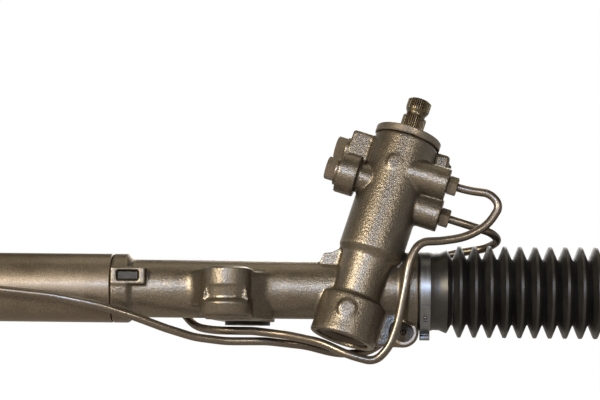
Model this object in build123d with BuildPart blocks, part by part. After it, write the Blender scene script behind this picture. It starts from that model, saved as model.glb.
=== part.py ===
"""Power steering rack: pinion housing with a leaning valve tower, hydraulic cylinder tube, toothed rack bar,
rotary valve, feed pipes, bellows and tie rods. Millimetres, +X along the rack, +Z along the mounting bolt."""

from build123d import *
from math import acos, cos, pi, radians, sin, tan
import os

os.makedirs("parts", exist_ok=True)

# Fits
running_gap = 0.05  # radial, between a moving piece and what guides it
fit_gap = 0.02  # radial, between two fixed pieces that are pressed together
loose_gap = 0.5  # between pieces that must never touch

# Rack
rack_y = 27.0  # rack axis, behind the front mounting bolt
rack_radius = 12.5
rack_travel = 66.0  # each way
tunnel_radius = 13.3

# Pinion and tower, measured along the pinion axis from the height of the rack axis
pinion_x = 94.6
rake = 17.3  # pinion axis leans along the rack
lean = 10.5  # and away, behind the rack
centre_distance = 15.5
pinion_teeth = 8
tooth_module = 1.75
pressure_angle = 20.0
profile_shift = 0.5
pinion_tip_radius = 9.2
rack_tooth_height = 3.39
tooth_play = 0.2
pinion_face = 28.0
journal_radius = 9.5
tower_radius = 23.4
waist_radius = 17.3
cup_radius = 24.0
cup_bottom = -41.0
cup_top = -12.0
shoulder_height = 25.5
tower_top = 113.0
valve_bore_radius = 15.5
valve_floor = 31.0
plug_bore_radius = 19.0
plug_floor = -30.0
bearing_radius = 14.0
bearing_shaft_radius = 6.0
bearing_height = 9.0
bearing_floor = -17.0
bush_outer_radius = 13.0
cover_radius = 24.5
cover_height = 6.5

# Housing barrel, stations along X
joint_x = -84.0  # face of the collar that the steel tube meets
collar_end_x = -72.5
barrel_radius = 21.0
tube_radius = 25.0
tube_wall = 3.0
tube_length = 250.0
spigot_length = 20.0
mouth_stop_x = 127.0
mouth_x = 146.0
mouth_radius = 26.4
mouth_wall = 6.1
flange_radius = 29.0
flange_x = 129.5
lip_x = 137.0  # where the bellows lip starts

# Mounting
bolt_radius = 6.25
boss_radius = 18.0
boss_top = 15.0
pad_bottom = -22.5
pad_top = -8.5
pad_rim = 0.9
boss_foot = 3.0
boss_rim = 1.2
boss_rib = 1.6  # how far the small ribs stand out beside the flat
flat_depth = 0.8
flat_top = 1.6
eye_x = 11.6
eye_y = 63.0
eye_wall = 4.6
eye_top = 17.0
rubber_radius = 15.6
rubber_flange = 2.6
rubber_flange_radius = 16.8
sleeve_radius = 9.2
lug_x = 126.4
lug_z = -29.8
lug_radius = 11.0
lug_front = -13.0
lug_depth = 23.0
lug_hole_radius = 7.0
lug_hole_depth = 16.0
lug_ring_wall = 2.3
lug_ring_height = 1.4
lug_way_in = 8.0  # left open in front of the ring, for the bolt
bracket_from_end = 84.0
bracket_width = 26.0
bracket_wall = 4.0
bracket_eye_y = 68.8

# Rack guide, measured from the rack axis away from the pinion
guide_radius = 15.0
guide_length = 27.0
guide_plug_start = 32.0
guide_boss_end = 42.0
guide_plug_radius = 16.5
guide_boss_radius = 20.5
plug_end = 50.0
plug_key_across = 17.0
plug_key_depth = 9.0
guide_front = 3.0
guide_pocket_floor = 18.0
guide_pocket_radius = 9.5
spring_radius = 7.2
spring_wire_radius = 1.3
spring_turns = 3
locknut_across = 41.0
locknut_height = 6.0

# Cylinder
gland_length = 24.0
gland_recess = 12.0
gland_ring_width = 1.9
rack_bush_width = 10.8
piston_x = -200.0
piston_width = 12.0
piston_clearance = 0.5
piston_groove_width = 4.0
piston_groove_depth = 3.0  # below the tube's bore
seal_width = 8.0
seal_radius = 18.0

# Ball joints and tie rods
socket_radius = 19.0
socket_back = 22.0  # from the ball centre to the face that meets the rack stop
socket_lip = 9.0
ball_radius = 11.9
seat_wall = 1.9
rod_radius = 7.3
neck_radius = 6.5
rod_length = 285.0
thread_radius = 6.9
thread_length = 31.0  # free of the jam nut
jam_nut_length = 10.0
wrench_flats_from_end = 61.0
wrench_flat_length = 14.0
wrench_flat_depth = 1.2
jam_nut_across = 22.0
socket_mouth_angle = 54.0  # half angles of the openings that the rod swings in
seat_mouth_angle = 43.0
mouth_reach = 16.0
clip_station = 145.0  # from the ball centre to the small end of the bellows
clip_seat_radius = 8.0

# Bellows
crest_radius = 33.5
valley_radius = 23.8
pitch = 10.9
bellows_wall = 1.5
crests = 15
first_crest = 31.2  # from the lip's end
lip_thickness = 1.9
lip_width = 9.5
band_thickness = 1.0
band_width = 7.4
band_ear = 8.0
clip_thickness = 0.9
clip_width = 5.0
clip_ear = 4.0
clip_from_end = 8.0

# Ports and pipes
pipe_radius = 3.0
nut_across = 12.0
nut_length = 7.0
nut_nose_radius = 5.0
nut_nose_length = 8.0
port_depth = 11.0
port_drilling_radius = 2.5
hose_drilling_radius = 3.0
plug_across = 15.0
plug_head = 8.0
plug_collar = 1.6
plug_collar_radius = 9.3
plug_shank_radius = 7.0
plug_shank_length = 12.0
tube_port_radius = 9.0
tube_port_length = 10.0

# Values worked out from the dimensions above
tube_bore = tube_radius - tube_wall
tube_end_x = joint_x - tube_length
gland_x = tube_end_x + gland_recess
bracket_x = tube_end_x + bracket_from_end
ball_right_x = mouth_stop_x + rack_travel + loose_gap + socket_back
ball_left_x = gland_x - rack_travel - loose_gap - socket_back
pitch_radius = pinion_teeth * tooth_module / 2
base_radius = pitch_radius * cos(radians(pressure_angle))
tooth_pitch = pi * tooth_module
reference_line = pitch_radius + profile_shift * tooth_module
rack_root_line = pinion_tip_radius + 0.4
rack_tip_line = rack_root_line - rack_tooth_height
bearing_bottom = bearing_floor - bearing_height
shaft_end = bearing_bottom - 7.0
socket_bore = ball_radius + seat_wall + 0.2

rack_axis = Axis((0, rack_y, 0), (1, 0, 0))
rack_side = Plane(origin=(0, rack_y, 0), x_dir=(1, 0, 0), z_dir=(0, -1, 0))
tower = Plane(
    origin=(pinion_x, rack_y, 0),
    x_dir=(1, 0, 0),
    z_dir=(0, sin(radians(lean)), cos(radians(lean))),
)
tower_back = tower.from_local_coords(Vector(0, 1, 0)) - tower.origin
pinion_foot = tower.from_local_coords(Vector(0, -centre_distance, 0))
pinion_up = (
    tower.from_local_coords(Vector(sin(radians(rake)), 0, cos(radians(rake))))
    - tower.origin
)
pinion_side = (
    tower.from_local_coords(Vector(cos(radians(rake)), 0, -sin(radians(rake))))
    - tower.origin
)
pinion_axis = Axis(pinion_foot, pinion_up)
pinion_cut = Plane(origin=pinion_foot, x_dir=pinion_side, z_dir=tower_back * -1)


# ---------------------------------------------------------------- small helpers


def across_rack(x):
    """Plane square to the rack axis at x, facing +X, its own y up"""
    return Plane(origin=(x, rack_y, 0), x_dir=(0, 1, 0), z_dir=(1, 0, 0))


def across_pinion(height, side=0.0, back=0.0):
    """Plane square to the pinion axis at a height on it"""
    origin = pinion_foot + pinion_up * height + pinion_side * side + tower_back * back
    return Plane(origin=origin, x_dir=pinion_side, z_dir=pinion_up)


def port_plane(side, back, height):
    """Plane square to a valve port, facing along the tower's side direction"""
    origin = pinion_foot + pinion_side * side + tower_back * back + pinion_up * height
    return Plane(origin=origin, x_dir=tower_back, z_dir=pinion_side)


def guide_plane(depth):
    """Plane square to the rack guide, facing away from the pinion"""
    return Plane(
        origin=tower.origin + tower_back * depth, x_dir=(1, 0, 0), z_dir=tower_back
    )


def level(z, x=0.0, y=0.0):
    """Level plane, facing up"""
    return Plane(origin=(x, y, z))


def profile(plane, corners):
    """Closed outline through (x, y) corners, or (x, y, radius) ones that are rounded"""
    points = [(corner[0], corner[1]) for corner in corners]
    radii = [corner[2] if len(corner) > 2 else 0 for corner in corners]
    with BuildSketch(plane) as flat:
        with BuildLine():
            FilletPolyline(*points, radius=radii, close=True)
        make_face()
    return flat.sketch


def turn_on_rack(corners, mode=Mode.ADD):
    """Turns (x, radius) corners about the rack axis"""
    revolve(profile(rack_side, corners), axis=rack_axis, mode=mode)


def turn_on_pinion(corners, mode=Mode.ADD):
    """Turns (radius, height) corners about the pinion axis"""
    revolve(profile(pinion_cut, corners), axis=pinion_axis, mode=mode)


def rod(plane, radius, length, mode=Mode.ADD):
    """Round bar that starts on a plane and runs along its normal"""
    with BuildSketch(plane) as end:
        Circle(radius)
    extrude(end.sketch, amount=length, mode=mode)


def hexagon(plane, across, length, mode=Mode.ADD):
    """Hexagon bar, sized across its flats, its corners turned down at both ends"""
    corner = across / 2 / cos(pi / 6) + 0.02
    face = 0.49 * across
    bevel = (corner - face) * tan(pi / 6) * (1 if length > 0 else -1)
    lengthwise = Plane(origin=plane.origin, x_dir=plane.x_dir, z_dir=plane.y_dir * -1)
    turned = [(0, 0), (face, 0), (corner, bevel), (corner, length - bevel), (face, length), (0, length)]
    with BuildPart(mode=Mode.PRIVATE) as bar:
        with BuildSketch(plane) as end:
            RegularPolygon(across / 2, 6, major_radius=False)
        extrude(end.sketch, amount=length)
        revolve(
            profile(lengthwise, turned),
            axis=Axis(plane.origin, plane.z_dir),
            mode=Mode.INTERSECT,
        )
    add(bar.part, mode=mode)


def block(plane, corners, length, mode=Mode.ADD, both=False):
    """Straight block of an outline"""
    extrude(profile(plane, corners), amount=length, both=both, mode=mode)


def ring_on_rack(start, length, inner, outer):
    """Plain ring about the rack axis"""
    with BuildPart() as ring:
        turn_on_rack(
            [(start, inner), (start, outer), (start + length, outer), (start + length, inner)]
        )
    return ring.part


def ring_on_pinion(start, length, inner, outer):
    """Plain ring about the pinion axis"""
    with BuildPart() as ring:
        turn_on_pinion(
            [(inner, start), (outer, start), (outer, start + length), (inner, start + length)]
        )
    return ring.part


def write(part, name):
    """Labels a finished piece and writes its STEP file"""
    part.label = name
    export_step(part, "parts/" + name + ".step")


# ---------------------------------------------------------------- pinion housing

# side, back, height and radius of each valve port, and where its face lies
port_right_upper = {"back": -11.0, "height": 88.5, "radius": 11.3, "face": 38.5}
port_right_lower = {"back": 0.0, "height": 67.0, "radius": 11.8, "face": 39.5}
port_left_front = {"back": -8.0, "height": 75.0, "radius": 15.2, "face": -39.5}
port_left_rear = {"back": 14.0, "height": 98.0, "radius": 13.5, "face": -40.0}
right_ports = [port_right_upper, port_right_lower]
left_ports = [port_left_front, port_left_rear]
left_boss_length = 14.0
left_neck_radius = 10.5
side_stub = {"back": 13.0, "height": 103.0, "radius": 7.0, "face": 36.0}
badge_radius = 5.3
badge_height = 89.5
lower_badge_radius = 6.4
lower_badge_height = -23.0


def barrel_outside():
    """Barrel round the rack, with the tube collar on the left and the bellows mouth on the right"""
    turn_on_rack(
        [
            (joint_x - spigot_length, 0),
            (joint_x - spigot_length, tube_bore - fit_gap),
            (joint_x, tube_bore - fit_gap),
            (joint_x, tube_radius, 0.6),
            (collar_end_x, tube_radius, 3.0),
            (collar_end_x + 4.0, barrel_radius, 2.0),
            (mouth_stop_x - 4.0, barrel_radius, 3.0),
            (flange_x, flange_radius, 1.0),
            (lip_x - 0.4, flange_radius, 1.0),
            (lip_x, mouth_radius),
            (mouth_x, mouth_radius, 1.0),
            (mouth_x, 0),
        ]
    )


def tower_outside():
    """Cup, waist, shoulder and valve body turned about the pinion axis"""
    turn_on_pinion(
        [
            (0, cup_bottom),
            (cup_radius, cup_bottom, 1.5),
            (cup_radius - 1.2, cup_top, 1.2),
            (waist_radius, cup_top + 2.5, 2.0),
            (waist_radius + 1.9, shoulder_height - 6.0, 1.0),
            (waist_radius + 2.9, shoulder_height - 4.0, 1.0),
            (tower_radius, shoulder_height, 1.2),
            (tower_radius, tower_top - 1.0),
            (tower_radius - 0.9, tower_top),
            (0, tower_top),
        ]
    )


def port_bosses():
    """Two bosses for the pipes on the right, two for the hoses on the left and a short stub behind"""
    for port in right_ports + [side_stub]:
        rod(port_plane(0, port["back"], port["height"]), port["radius"], port["face"])
    for port in left_ports:
        face = port["face"]
        rod(port_plane(face, port["back"], port["height"]), port["radius"], left_boss_length)
        rod(port_plane(face, port["back"], port["height"]), left_neck_radius, -face)


def mounting_boss():
    """Front bolt boss, rear eye and the pad that joins them under the barrel"""
    rod(level(pad_bottom + boss_foot), boss_radius, boss_top - boss_rim - pad_bottom - boss_foot)
    rod(level(pad_bottom), boss_radius - boss_foot, boss_top - pad_bottom)
    rod(level(pad_bottom, eye_x, eye_y), rubber_radius + eye_wall, eye_top - pad_bottom)
    pad_layers = (
        (boss_radius - boss_foot - 2.0, pad_bottom),
        (boss_radius + pad_rim, pad_bottom + boss_foot),
    )
    for radius, bottom in pad_layers:
        with BuildSketch(level(bottom)) as pad:
            Circle(radius)
            with Locations((eye_x, eye_y)):
                Circle(rubber_radius + eye_wall)
            make_hull()
        extrude(pad.sketch, amount=pad_top - bottom)
    web = [(-30, rack_y - 14), (1.5 - boss_radius, -5), (boss_radius - 1.5, -5), (36, rack_y - 14)]
    block(level(pad_top - 4.0), web, boss_top - 2.5 - pad_top + 4.0)
    rear_web = [(-8, rack_y), (eye_x - 17, eye_y), (eye_x + 17, eye_y), (38, rack_y)]
    block(level(pad_top - 2.0), rear_web, eye_top - pad_top - 3.0)


def boss_flat():
    """Shallow machined band round the front of the boss, between two small ribs"""
    half = boss_radius - 4.0
    with BuildPart() as band:
        rod(level(pad_top), boss_radius + 3.0, flat_top - pad_top)
        rod(level(pad_top - 1), boss_radius - flat_depth, flat_top - pad_top + 2, Mode.SUBTRACT)
        front = [(-half, -30), (half, -30), (half, 0), (-half, 0)]
        block(level(pad_top - 1), front, flat_top - pad_top + 2, Mode.INTERSECT)
    add(band.part, mode=Mode.SUBTRACT)
    rib_y = -((boss_radius**2 - half**2) ** 0.5) - boss_rib
    rib_front = Plane(origin=(0, rib_y, 0), x_dir=(1, 0, 0), z_dir=(0, 1, 0))
    for left, right in ((-half - 2.4, 1.2 - half), (half - 1.2, half + 2.4)):
        middle = (left + right) / 2
        block(rib_front, [(left, -pad_top), (right, -pad_top), (middle, 1.0)], 7.0)


def lower_lug():
    """Lug under the mouth, its hole opening to the front"""
    face = Plane(origin=(0, rack_y + lug_front, 0), x_dir=(1, 0, 0), z_dir=(0, -1, 0))
    with BuildSketch(face) as plate:
        with BuildLine():
            Polyline(
                (lug_x - 26, lug_z - lug_radius + 1),
                (lug_x, lug_z - lug_radius),
                (lug_x + lug_radius, lug_z),
                (lug_x + 5, -14),
                (lug_x - 20, -14),
                close=True,
            )
        make_face()
        with Locations((lug_x, lug_z)):
            Circle(lug_radius)
    extrude(plate.sketch, amount=-lug_depth)
    rim = Plane(origin=(lug_x, rack_y + lug_front, lug_z), x_dir=(1, 0, 0), z_dir=(0, -1, 0))
    rod(rim, lug_hole_radius + lug_ring_wall, lug_ring_height)


def casting_details():
    """Window frame at the collar, gusset by the tower and the two plain round pads"""
    front = Plane(origin=(0, rack_y, 0), x_dir=(1, 0, 0), z_dir=(0, -1, 0))
    frame_left, frame_right, frame_low, frame_high = joint_x + 0.3, -58.7, 2.0, 14.2
    frame = [
        (frame_left, frame_low, 0.5),
        (frame_right, frame_low, 0.5),
        (frame_right, frame_high, 0.5),
        (frame_left, frame_high, 0.5),
    ]
    block(front, frame, tube_radius + 0.7)
    window = [(-79.4, 5.0, 0.4), (-63.4, 5.0, 0.4), (-63.4, 12.0, 0.4), (-79.4, 12.0, 0.4)]
    window_floor = Plane(origin=(0, rack_y - 21.6, 0), x_dir=(1, 0, 0), z_dir=(0, -1, 0))
    block(window_floor, window, 6.0, mode=Mode.SUBTRACT)
    gusset = [(62.0, 12), (68.9, 26.8, 1.5), (74.7, 27.2), (80.5, 30.2, 1.0), (92, 30), (92, 10)]
    block(Plane(origin=(0, rack_y + 6, 0), x_dir=(1, 0, 0), z_dir=(0, -1, 0)), gusset, 17.0)
    for height, side, radius, out in (
        (badge_height, -2.4, badge_radius, tower_radius + 0.3),
        (lower_badge_height, -2.0, lower_badge_radius, cup_radius + 0.1),
    ):
        origin = pinion_foot + pinion_up * height + pinion_side * side
        pad = Plane(origin=origin, x_dir=pinion_side, z_dir=tower_back * -1)
        rod(pad, radius, out)


def housing_bores():
    """Rack tunnel, pinion and valve bores, ports, bolt holes"""
    turn_on_rack(
        [
            (joint_x - spigot_length - 1, 0),
            (joint_x - spigot_length - 1, seal_radius),
            (joint_x - spigot_length + seal_width + 1, seal_radius),
            (joint_x - spigot_length + seal_width + 1, tunnel_radius),
            (mouth_stop_x, tunnel_radius),
            (mouth_stop_x, mouth_radius - mouth_wall),
            (mouth_x + 1, mouth_radius - mouth_wall),
            (mouth_x + 1, 0),
        ],
        Mode.SUBTRACT,
    )
    turn_on_pinion(
        [
            (0, cup_bottom - 1),
            (plug_bore_radius, cup_bottom - 1),
            (plug_bore_radius, plug_floor),
            (bearing_radius, plug_floor),
            (bearing_radius, bearing_floor),
            (pinion_tip_radius + 1.2, bearing_floor),
            (pinion_tip_radius + 1.2, pinion_face / 2 + 1.5),
            (bush_outer_radius, pinion_face / 2 + 1.5),
            (bush_outer_radius, valve_floor),
            (valve_bore_radius, valve_floor),
            (valve_bore_radius, tower_top + 1),
            (0, tower_top + 1),
        ],
        Mode.SUBTRACT,
    )
    rod(guide_plane(2.0), guide_radius + running_gap, guide_boss_end, Mode.SUBTRACT)
    rod(guide_plane(guide_plug_start), guide_plug_radius + fit_gap, 20.0, Mode.SUBTRACT)
    for port in right_ports:
        mouth = port_plane(port["face"] - port_depth, port["back"], port["height"])
        rod(mouth, nut_nose_radius + fit_gap, port_depth + 1, Mode.SUBTRACT)
        inner = port_plane(5.0, port["back"], port["height"])
        rod(inner, port_drilling_radius, port["face"] - 6.0, Mode.SUBTRACT)
    for port in left_ports:
        mouth = port_plane(port["face"] - 1, port["back"], port["height"])
        rod(mouth, plug_shank_radius + fit_gap, plug_shank_length + 2, Mode.SUBTRACT)
        rod(mouth, hose_drilling_radius, -port["face"] - 5.0, Mode.SUBTRACT)
    rod(level(pad_bottom - 1), bolt_radius, boss_top - pad_bottom + 2, Mode.SUBTRACT)
    rod(level(pad_bottom - 1, eye_x, eye_y), rubber_radius, eye_top - pad_bottom + 2, Mode.SUBTRACT)
    hole = Plane(
        origin=(lug_x, rack_y + lug_front - 2, lug_z), x_dir=(1, 0, 0), z_dir=(0, 1, 0)
    )
    rod(hole, lug_hole_radius, lug_hole_depth + 2, Mode.SUBTRACT)
    ring_face = rack_y + lug_front - lug_ring_height
    way_in = Plane(origin=(lug_x, ring_face, lug_z), x_dir=(1, 0, 0), z_dir=(0, -1, 0))
    rod(way_in, lug_hole_radius + 0.8, lug_way_in, Mode.SUBTRACT)


def make_pinion_housing():
    """The casting that everything on the right is built into"""
    with BuildPart() as casting:
        barrel_outside()
        tower_outside()
        port_bosses()
        mounting_boss()
        boss_flat()
        lower_lug()
        rod(guide_plane(0), guide_boss_radius, guide_boss_end)
        casting_details()
        housing_bores()
    return casting.part


# ---------------------------------------------------------------- cylinder and its fittings

tube_port_left_x = gland_x + gland_length + 10.0
tube_port_right_x = joint_x - spigot_length - 9.0


def make_cylinder_tube():
    """Steel tube that the piston runs in, with a hole under each port"""
    with BuildPart() as tube:
        turn_on_rack(
            [
                (tube_end_x, tube_bore),
                (tube_end_x, tube_radius, 0.8),
                (joint_x - 0.3, tube_radius, 0.8),
                (joint_x - 0.3, tube_bore),
            ]
        )
        for x, back in ((tube_port_left_x, -1), (tube_port_right_x, 1)):
            hole = Plane(origin=(x, rack_y, 0), x_dir=(1, 0, 0), z_dir=(0, back, 0))
            rod(hole, pipe_radius, tube_radius + 1, Mode.SUBTRACT)
    return tube.part


def make_tube_port(x, back):
    """Port welded to the tube, saddled on it, facing the front (-1) or the rear (1)"""
    foot = Plane(origin=(x, rack_y, 0), x_dir=(1, 0, 0), z_dir=(0, back, 0))
    with BuildPart() as port:
        rod(foot, tube_port_radius, tube_radius + tube_port_length)
        turn_on_rack(
            [
                (x - 20, 0),
                (x - 20, tube_radius + fit_gap),
                (x + 20, tube_radius + fit_gap),
                (x + 20, 0),
            ],
            Mode.SUBTRACT,
        )
        mouth = Plane(
            origin=(x, rack_y + back * (tube_radius + 1.5), 0),
            x_dir=(1, 0, 0),
            z_dir=(0, back, 0),
        )
        rod(mouth, nut_nose_radius + fit_gap, tube_port_length, Mode.SUBTRACT)
        rod(foot, port_drilling_radius, tube_radius + 5, Mode.SUBTRACT)
    return port.part


def make_end_gland():
    """Plug that closes the outer end of the cylinder and guides the rack"""
    end = gland_x + gland_length
    with BuildPart() as gland:
        turn_on_rack(
            [
                (gland_x, tunnel_radius),
                (gland_x, tube_bore - fit_gap),
                (end, tube_bore - fit_gap),
                (end, seal_radius),
                (end - seal_width - 1, seal_radius),
                (end - seal_width - 1, tunnel_radius),
                (gland_x + 14, tunnel_radius),
                (gland_x + 14, tunnel_radius + 2),
                (gland_x + 3, tunnel_radius + 2),
                (gland_x + 3, tunnel_radius),
            ]
        )
    return gland.part


def make_rack_seal(start):
    """Lip seal between the rack and its pocket"""
    with BuildPart() as seal:
        turn_on_rack(
            [
                (start, rack_radius + running_gap),
                (start, seal_radius - fit_gap),
                (start + seal_width, seal_radius - fit_gap),
                (start + seal_width, seal_radius - 2.0),
                (start + 3, seal_radius - 2.0),
                (start + 3, rack_radius + 1.6),
                (start + seal_width - 1, rack_radius + running_gap),
            ]
        )
    return seal.part


# ---------------------------------------------------------------- mounting bushes


def make_bush_rubber(x, y):
    """Rubber bush with a flange under the eye"""
    with BuildPart() as rubber:
        rod(level(pad_bottom, x, y), rubber_radius - fit_gap, eye_top - pad_bottom)
        rod(level(pad_bottom - rubber_flange, x, y), rubber_flange_radius, rubber_flange)
        rod(
            level(pad_bottom - rubber_flange - 1, x, y),
            sleeve_radius + fit_gap,
            eye_top - pad_bottom + rubber_flange + 2,
            Mode.SUBTRACT,
        )
    return rubber.part


def make_bush_sleeve(x, y):
    """Steel sleeve that the mounting bolt clamps"""
    bottom = pad_bottom - rubber_flange
    with BuildPart() as sleeve:
        rod(level(bottom, x, y), sleeve_radius, eye_top + 1.5 - bottom)
        rod(level(bottom - 1, x, y), bolt_radius, eye_top + 4 - bottom, Mode.SUBTRACT)
    return sleeve.part


def make_left_bracket():
    """Collar pressed on the tube, with an eye behind it for the third bolt"""
    start = bracket_x - bracket_width / 2
    with BuildPart() as bracket:
        turn_on_rack(
            [
                (start, 0),
                (start, tube_radius + bracket_wall, 1.0),
                (start + bracket_width, tube_radius + bracket_wall, 1.0),
                (start + bracket_width, 0),
            ]
        )
        rod(
            level(pad_bottom, bracket_x, bracket_eye_y),
            rubber_radius + eye_wall,
            eye_top - pad_bottom,
        )
        arms = [
            (bracket_x - 13, rack_y),
            (bracket_x - 18, bracket_eye_y),
            (bracket_x + 18, bracket_eye_y),
            (bracket_x + 13, rack_y),
        ]
        block(level(pad_bottom + 4), arms, eye_top - pad_bottom - 8)
        turn_on_rack(
            [
                (start - 9, 0),
                (start - 9, tube_radius + fit_gap),
                (start + bracket_width + 9, tube_radius + fit_gap),
                (start + bracket_width + 9, 0),
            ],
            Mode.SUBTRACT,
        )
        rod(
            level(pad_bottom - 1, bracket_x, bracket_eye_y),
            rubber_radius,
            eye_top - pad_bottom + 2,
            Mode.SUBTRACT,
        )
    return bracket.part


# ---------------------------------------------------------------- rack bar

rack_left_x = ball_left_x + socket_back
rack_right_x = ball_right_x - socket_back
stud_radius = 7.5
stud_length = 18.0


def make_rack_bar():
    """Round bar, flat and toothed where the pinion meets it, drilled for the sockets"""
    toothed_half = rack_travel + 17.0
    teeth_each_side = int(toothed_half * cos(radians(rake)) / tooth_pitch)
    with BuildPart() as bar:
        turn_on_rack(
            [
                (rack_left_x, 0),
                (rack_left_x, rack_radius, 1.0),
                (rack_right_x, rack_radius, 1.0),
                (rack_right_x, 0),
            ]
        )
        tip_y = rack_tip_line - centre_distance
        flat = Plane(
            origin=tower.origin + tower_back * tip_y, x_dir=(1, 0, 0), z_dir=tower_back * -1
        )
        with BuildSketch(flat) as land:
            Rectangle(2 * toothed_half, 2 * rack_radius + 2)
        extrude(land.sketch, amount=rack_radius, mode=Mode.SUBTRACT)
        slope = tan(radians(pressure_angle))
        at_tip = tooth_pitch / 4 + tooth_play / 2 + (reference_line - rack_tip_line) * slope
        at_root = tooth_pitch / 4 + tooth_play / 2 - (rack_root_line - reference_line) * slope
        above = rack_tip_line - 2.0
        reach = 2 * rack_radius + toothed_half * tan(radians(rake))
        for number in range(-teeth_each_side, teeth_each_side + 1):
            shift = number * tooth_pitch
            gap = [
                (shift - at_tip - 2.0 * slope, above),
                (shift - at_root, rack_root_line, 0.25),
                (shift + at_root, rack_root_line, 0.25),
                (shift + at_tip + 2.0 * slope, above),
            ]
            block(across_pinion(0), gap, reach, Mode.SUBTRACT, both=True)
        rod(across_rack(rack_left_x - 1), stud_radius + fit_gap, stud_length + 3, Mode.SUBTRACT)
        end = Plane(origin=(rack_right_x + 1, rack_y, 0), x_dir=(0, 1, 0), z_dir=(-1, 0, 0))
        rod(end, stud_radius + fit_gap, stud_length + 3, Mode.SUBTRACT)
    return bar.part


def make_piston():
    """Piston on the rack bar, grooved for its ring"""
    start = piston_x - piston_width / 2
    groove = piston_x - piston_groove_width / 2
    outside = tube_bore - piston_clearance
    floor = tube_bore - piston_groove_depth
    with BuildPart() as piston:
        turn_on_rack(
            [
                (start, rack_radius + fit_gap),
                (start, outside, 0.8),
                (groove, outside),
                (groove, floor),
                (groove + piston_groove_width, floor),
                (groove + piston_groove_width, outside),
                (start + piston_width, outside, 0.8),
                (start + piston_width, rack_radius + fit_gap),
            ]
        )
    return piston.part


# ---------------------------------------------------------------- pinion and rotary valve

sleeve_start = 42.0
sleeve_end = 101.0
sleeve_outer_radius = 15.3
sleeve_bore = 10.05
skirt_end = 47.0
skirt_radius = 13.22
cup_start = 33.0
spool_radius = 10.0
shaft_radius = 9.0
spline_radius = 8.75
spline_depth = 0.75
spline_teeth = 36
spline_start = 121.0
groove_bottom = 131.8
groove_top = 139.3
groove_radius = 7.0
shaft_top = 146.0
torsion_radius = 2.6
torsion_bore = 3.6
dog_half = 5.5
dog_gap = 0.85
ring_width = 2.0
pin_radius = 1.2
top_pin_height = 107.0
bearing_ring_wall = 2.5
seal_pocket_wall = 4.0
seal_pocket_depth = 7.5
shaft_seal_width = 5.5
ring_stations = (49.0, 62.0, 78.0, 91.0)


def involute_flank(points=7):
    """Points (across, out) of one side of a tooth centred on the out direction"""
    half_thickness = tooth_pitch / 4 + profile_shift * tooth_module * tan(radians(pressure_angle))
    roll_at_pitch = tan(radians(pressure_angle)) - radians(pressure_angle)
    half_angle = half_thickness / pitch_radius + roll_at_pitch
    flank = []
    for step in range(points):
        radius = base_radius + (pinion_tip_radius - base_radius) * step / (points - 1)
        opening = acos(min(1.0, base_radius / radius))
        angle = half_angle - (tan(opening) - opening)
        flank.append((radius * sin(angle), radius * cos(angle)))
    return flank


def make_pinion_gear():
    """Involute pinion, its bearing journals and the cup that drives the valve sleeve"""
    root_radius = rack_tip_line - 0.45
    flank = involute_flank()
    with BuildPart() as pinion:
        with BuildSketch(across_pinion(-pinion_face / 2)) as gear:
            Circle(root_radius)
            with BuildSketch(mode=Mode.PRIVATE) as tooth:
                with BuildLine():
                    right = Spline(*flank)
                    left = Spline(*[(-x, y) for x, y in flank])
                    Line(right @ 1, left @ 1)
                    foot = root_radius * 0.7
                    Polyline(right @ 0, (flank[0][0] * 0.9, foot), (-flank[0][0] * 0.9, foot), left @ 0)
                make_face()
            with PolarLocations(0, pinion_teeth):
                add(tooth.sketch)
        extrude(gear.sketch, amount=pinion_face)
        turn_on_pinion(
            [
                (0, pinion_face / 2),
                (journal_radius, pinion_face / 2, 0.4),
                (journal_radius, cup_start),
                (skirt_radius - fit_gap, cup_start, 0.5),
                (skirt_radius - fit_gap, skirt_end - 0.2),
                (0, skirt_end - 0.2),
            ]
        )
        turn_on_pinion(
            [
                (0, -pinion_face / 2),
                (bearing_shaft_radius + 2.0, -pinion_face / 2, 0.5),
                (bearing_shaft_radius + 2.0, bearing_floor),
                (bearing_shaft_radius, bearing_floor),
                (bearing_shaft_radius, shaft_end, 0.6),
                (0, shaft_end),
            ]
        )
        with BuildSketch(across_pinion(cup_start + 4)) as slot:
            Circle(spool_radius + 0.2)
            Rectangle(2 * spool_radius + 2, 2 * (dog_half + dog_gap), mode=Mode.INTERSECT)
        extrude(slot.sketch, amount=skirt_end - cup_start, mode=Mode.SUBTRACT)
        rod(across_pinion(cup_start - 10), torsion_radius + fit_gap, 30.0, Mode.SUBTRACT)
        side = Plane(
            origin=pinion_foot + pinion_up * (sleeve_start + 2.5) + tower_back * 11.0,
            x_dir=pinion_side,
            z_dir=tower_back,
        )
        rod(side, pin_radius + fit_gap, 8.0, Mode.SUBTRACT)
    return pinion.part


def make_valve_sleeve():
    """Sleeve round the spool, with oil grooves, ring grooves and drilled passages"""
    with BuildPart() as sleeve:
        turn_on_pinion(
            [
                (skirt_radius, sleeve_start),
                (sleeve_outer_radius, sleeve_start, 0.5),
                (sleeve_outer_radius, sleeve_end, 0.5),
                (sleeve_bore, sleeve_end),
                (sleeve_bore, skirt_end),
                (skirt_radius, skirt_end),
            ]
        )
        for station in ring_stations:
            cut_ring(station, ring_width, sleeve_outer_radius - 1.2)
        for low, high in zip(ring_stations[:-1], ring_stations[1:]):
            middle = (low + high + ring_width) / 2
            cut_ring(middle - 2.5, 5.0, sleeve_outer_radius - 1.6)
            passages = across_pinion(middle)
            for angle in (45, 135, 225, 315):
                out = pinion_side * cos(radians(angle)) + tower_back * sin(radians(angle))
                rod(Plane(origin=passages.origin, z_dir=out), 1.3, 20.0, Mode.SUBTRACT)
        side = Plane(
            origin=pinion_foot + pinion_up * (sleeve_start + 2.5),
            x_dir=pinion_side,
            z_dir=tower_back,
        )
        rod(side, pin_radius + fit_gap, 20.0, Mode.SUBTRACT)
    return sleeve.part


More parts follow.
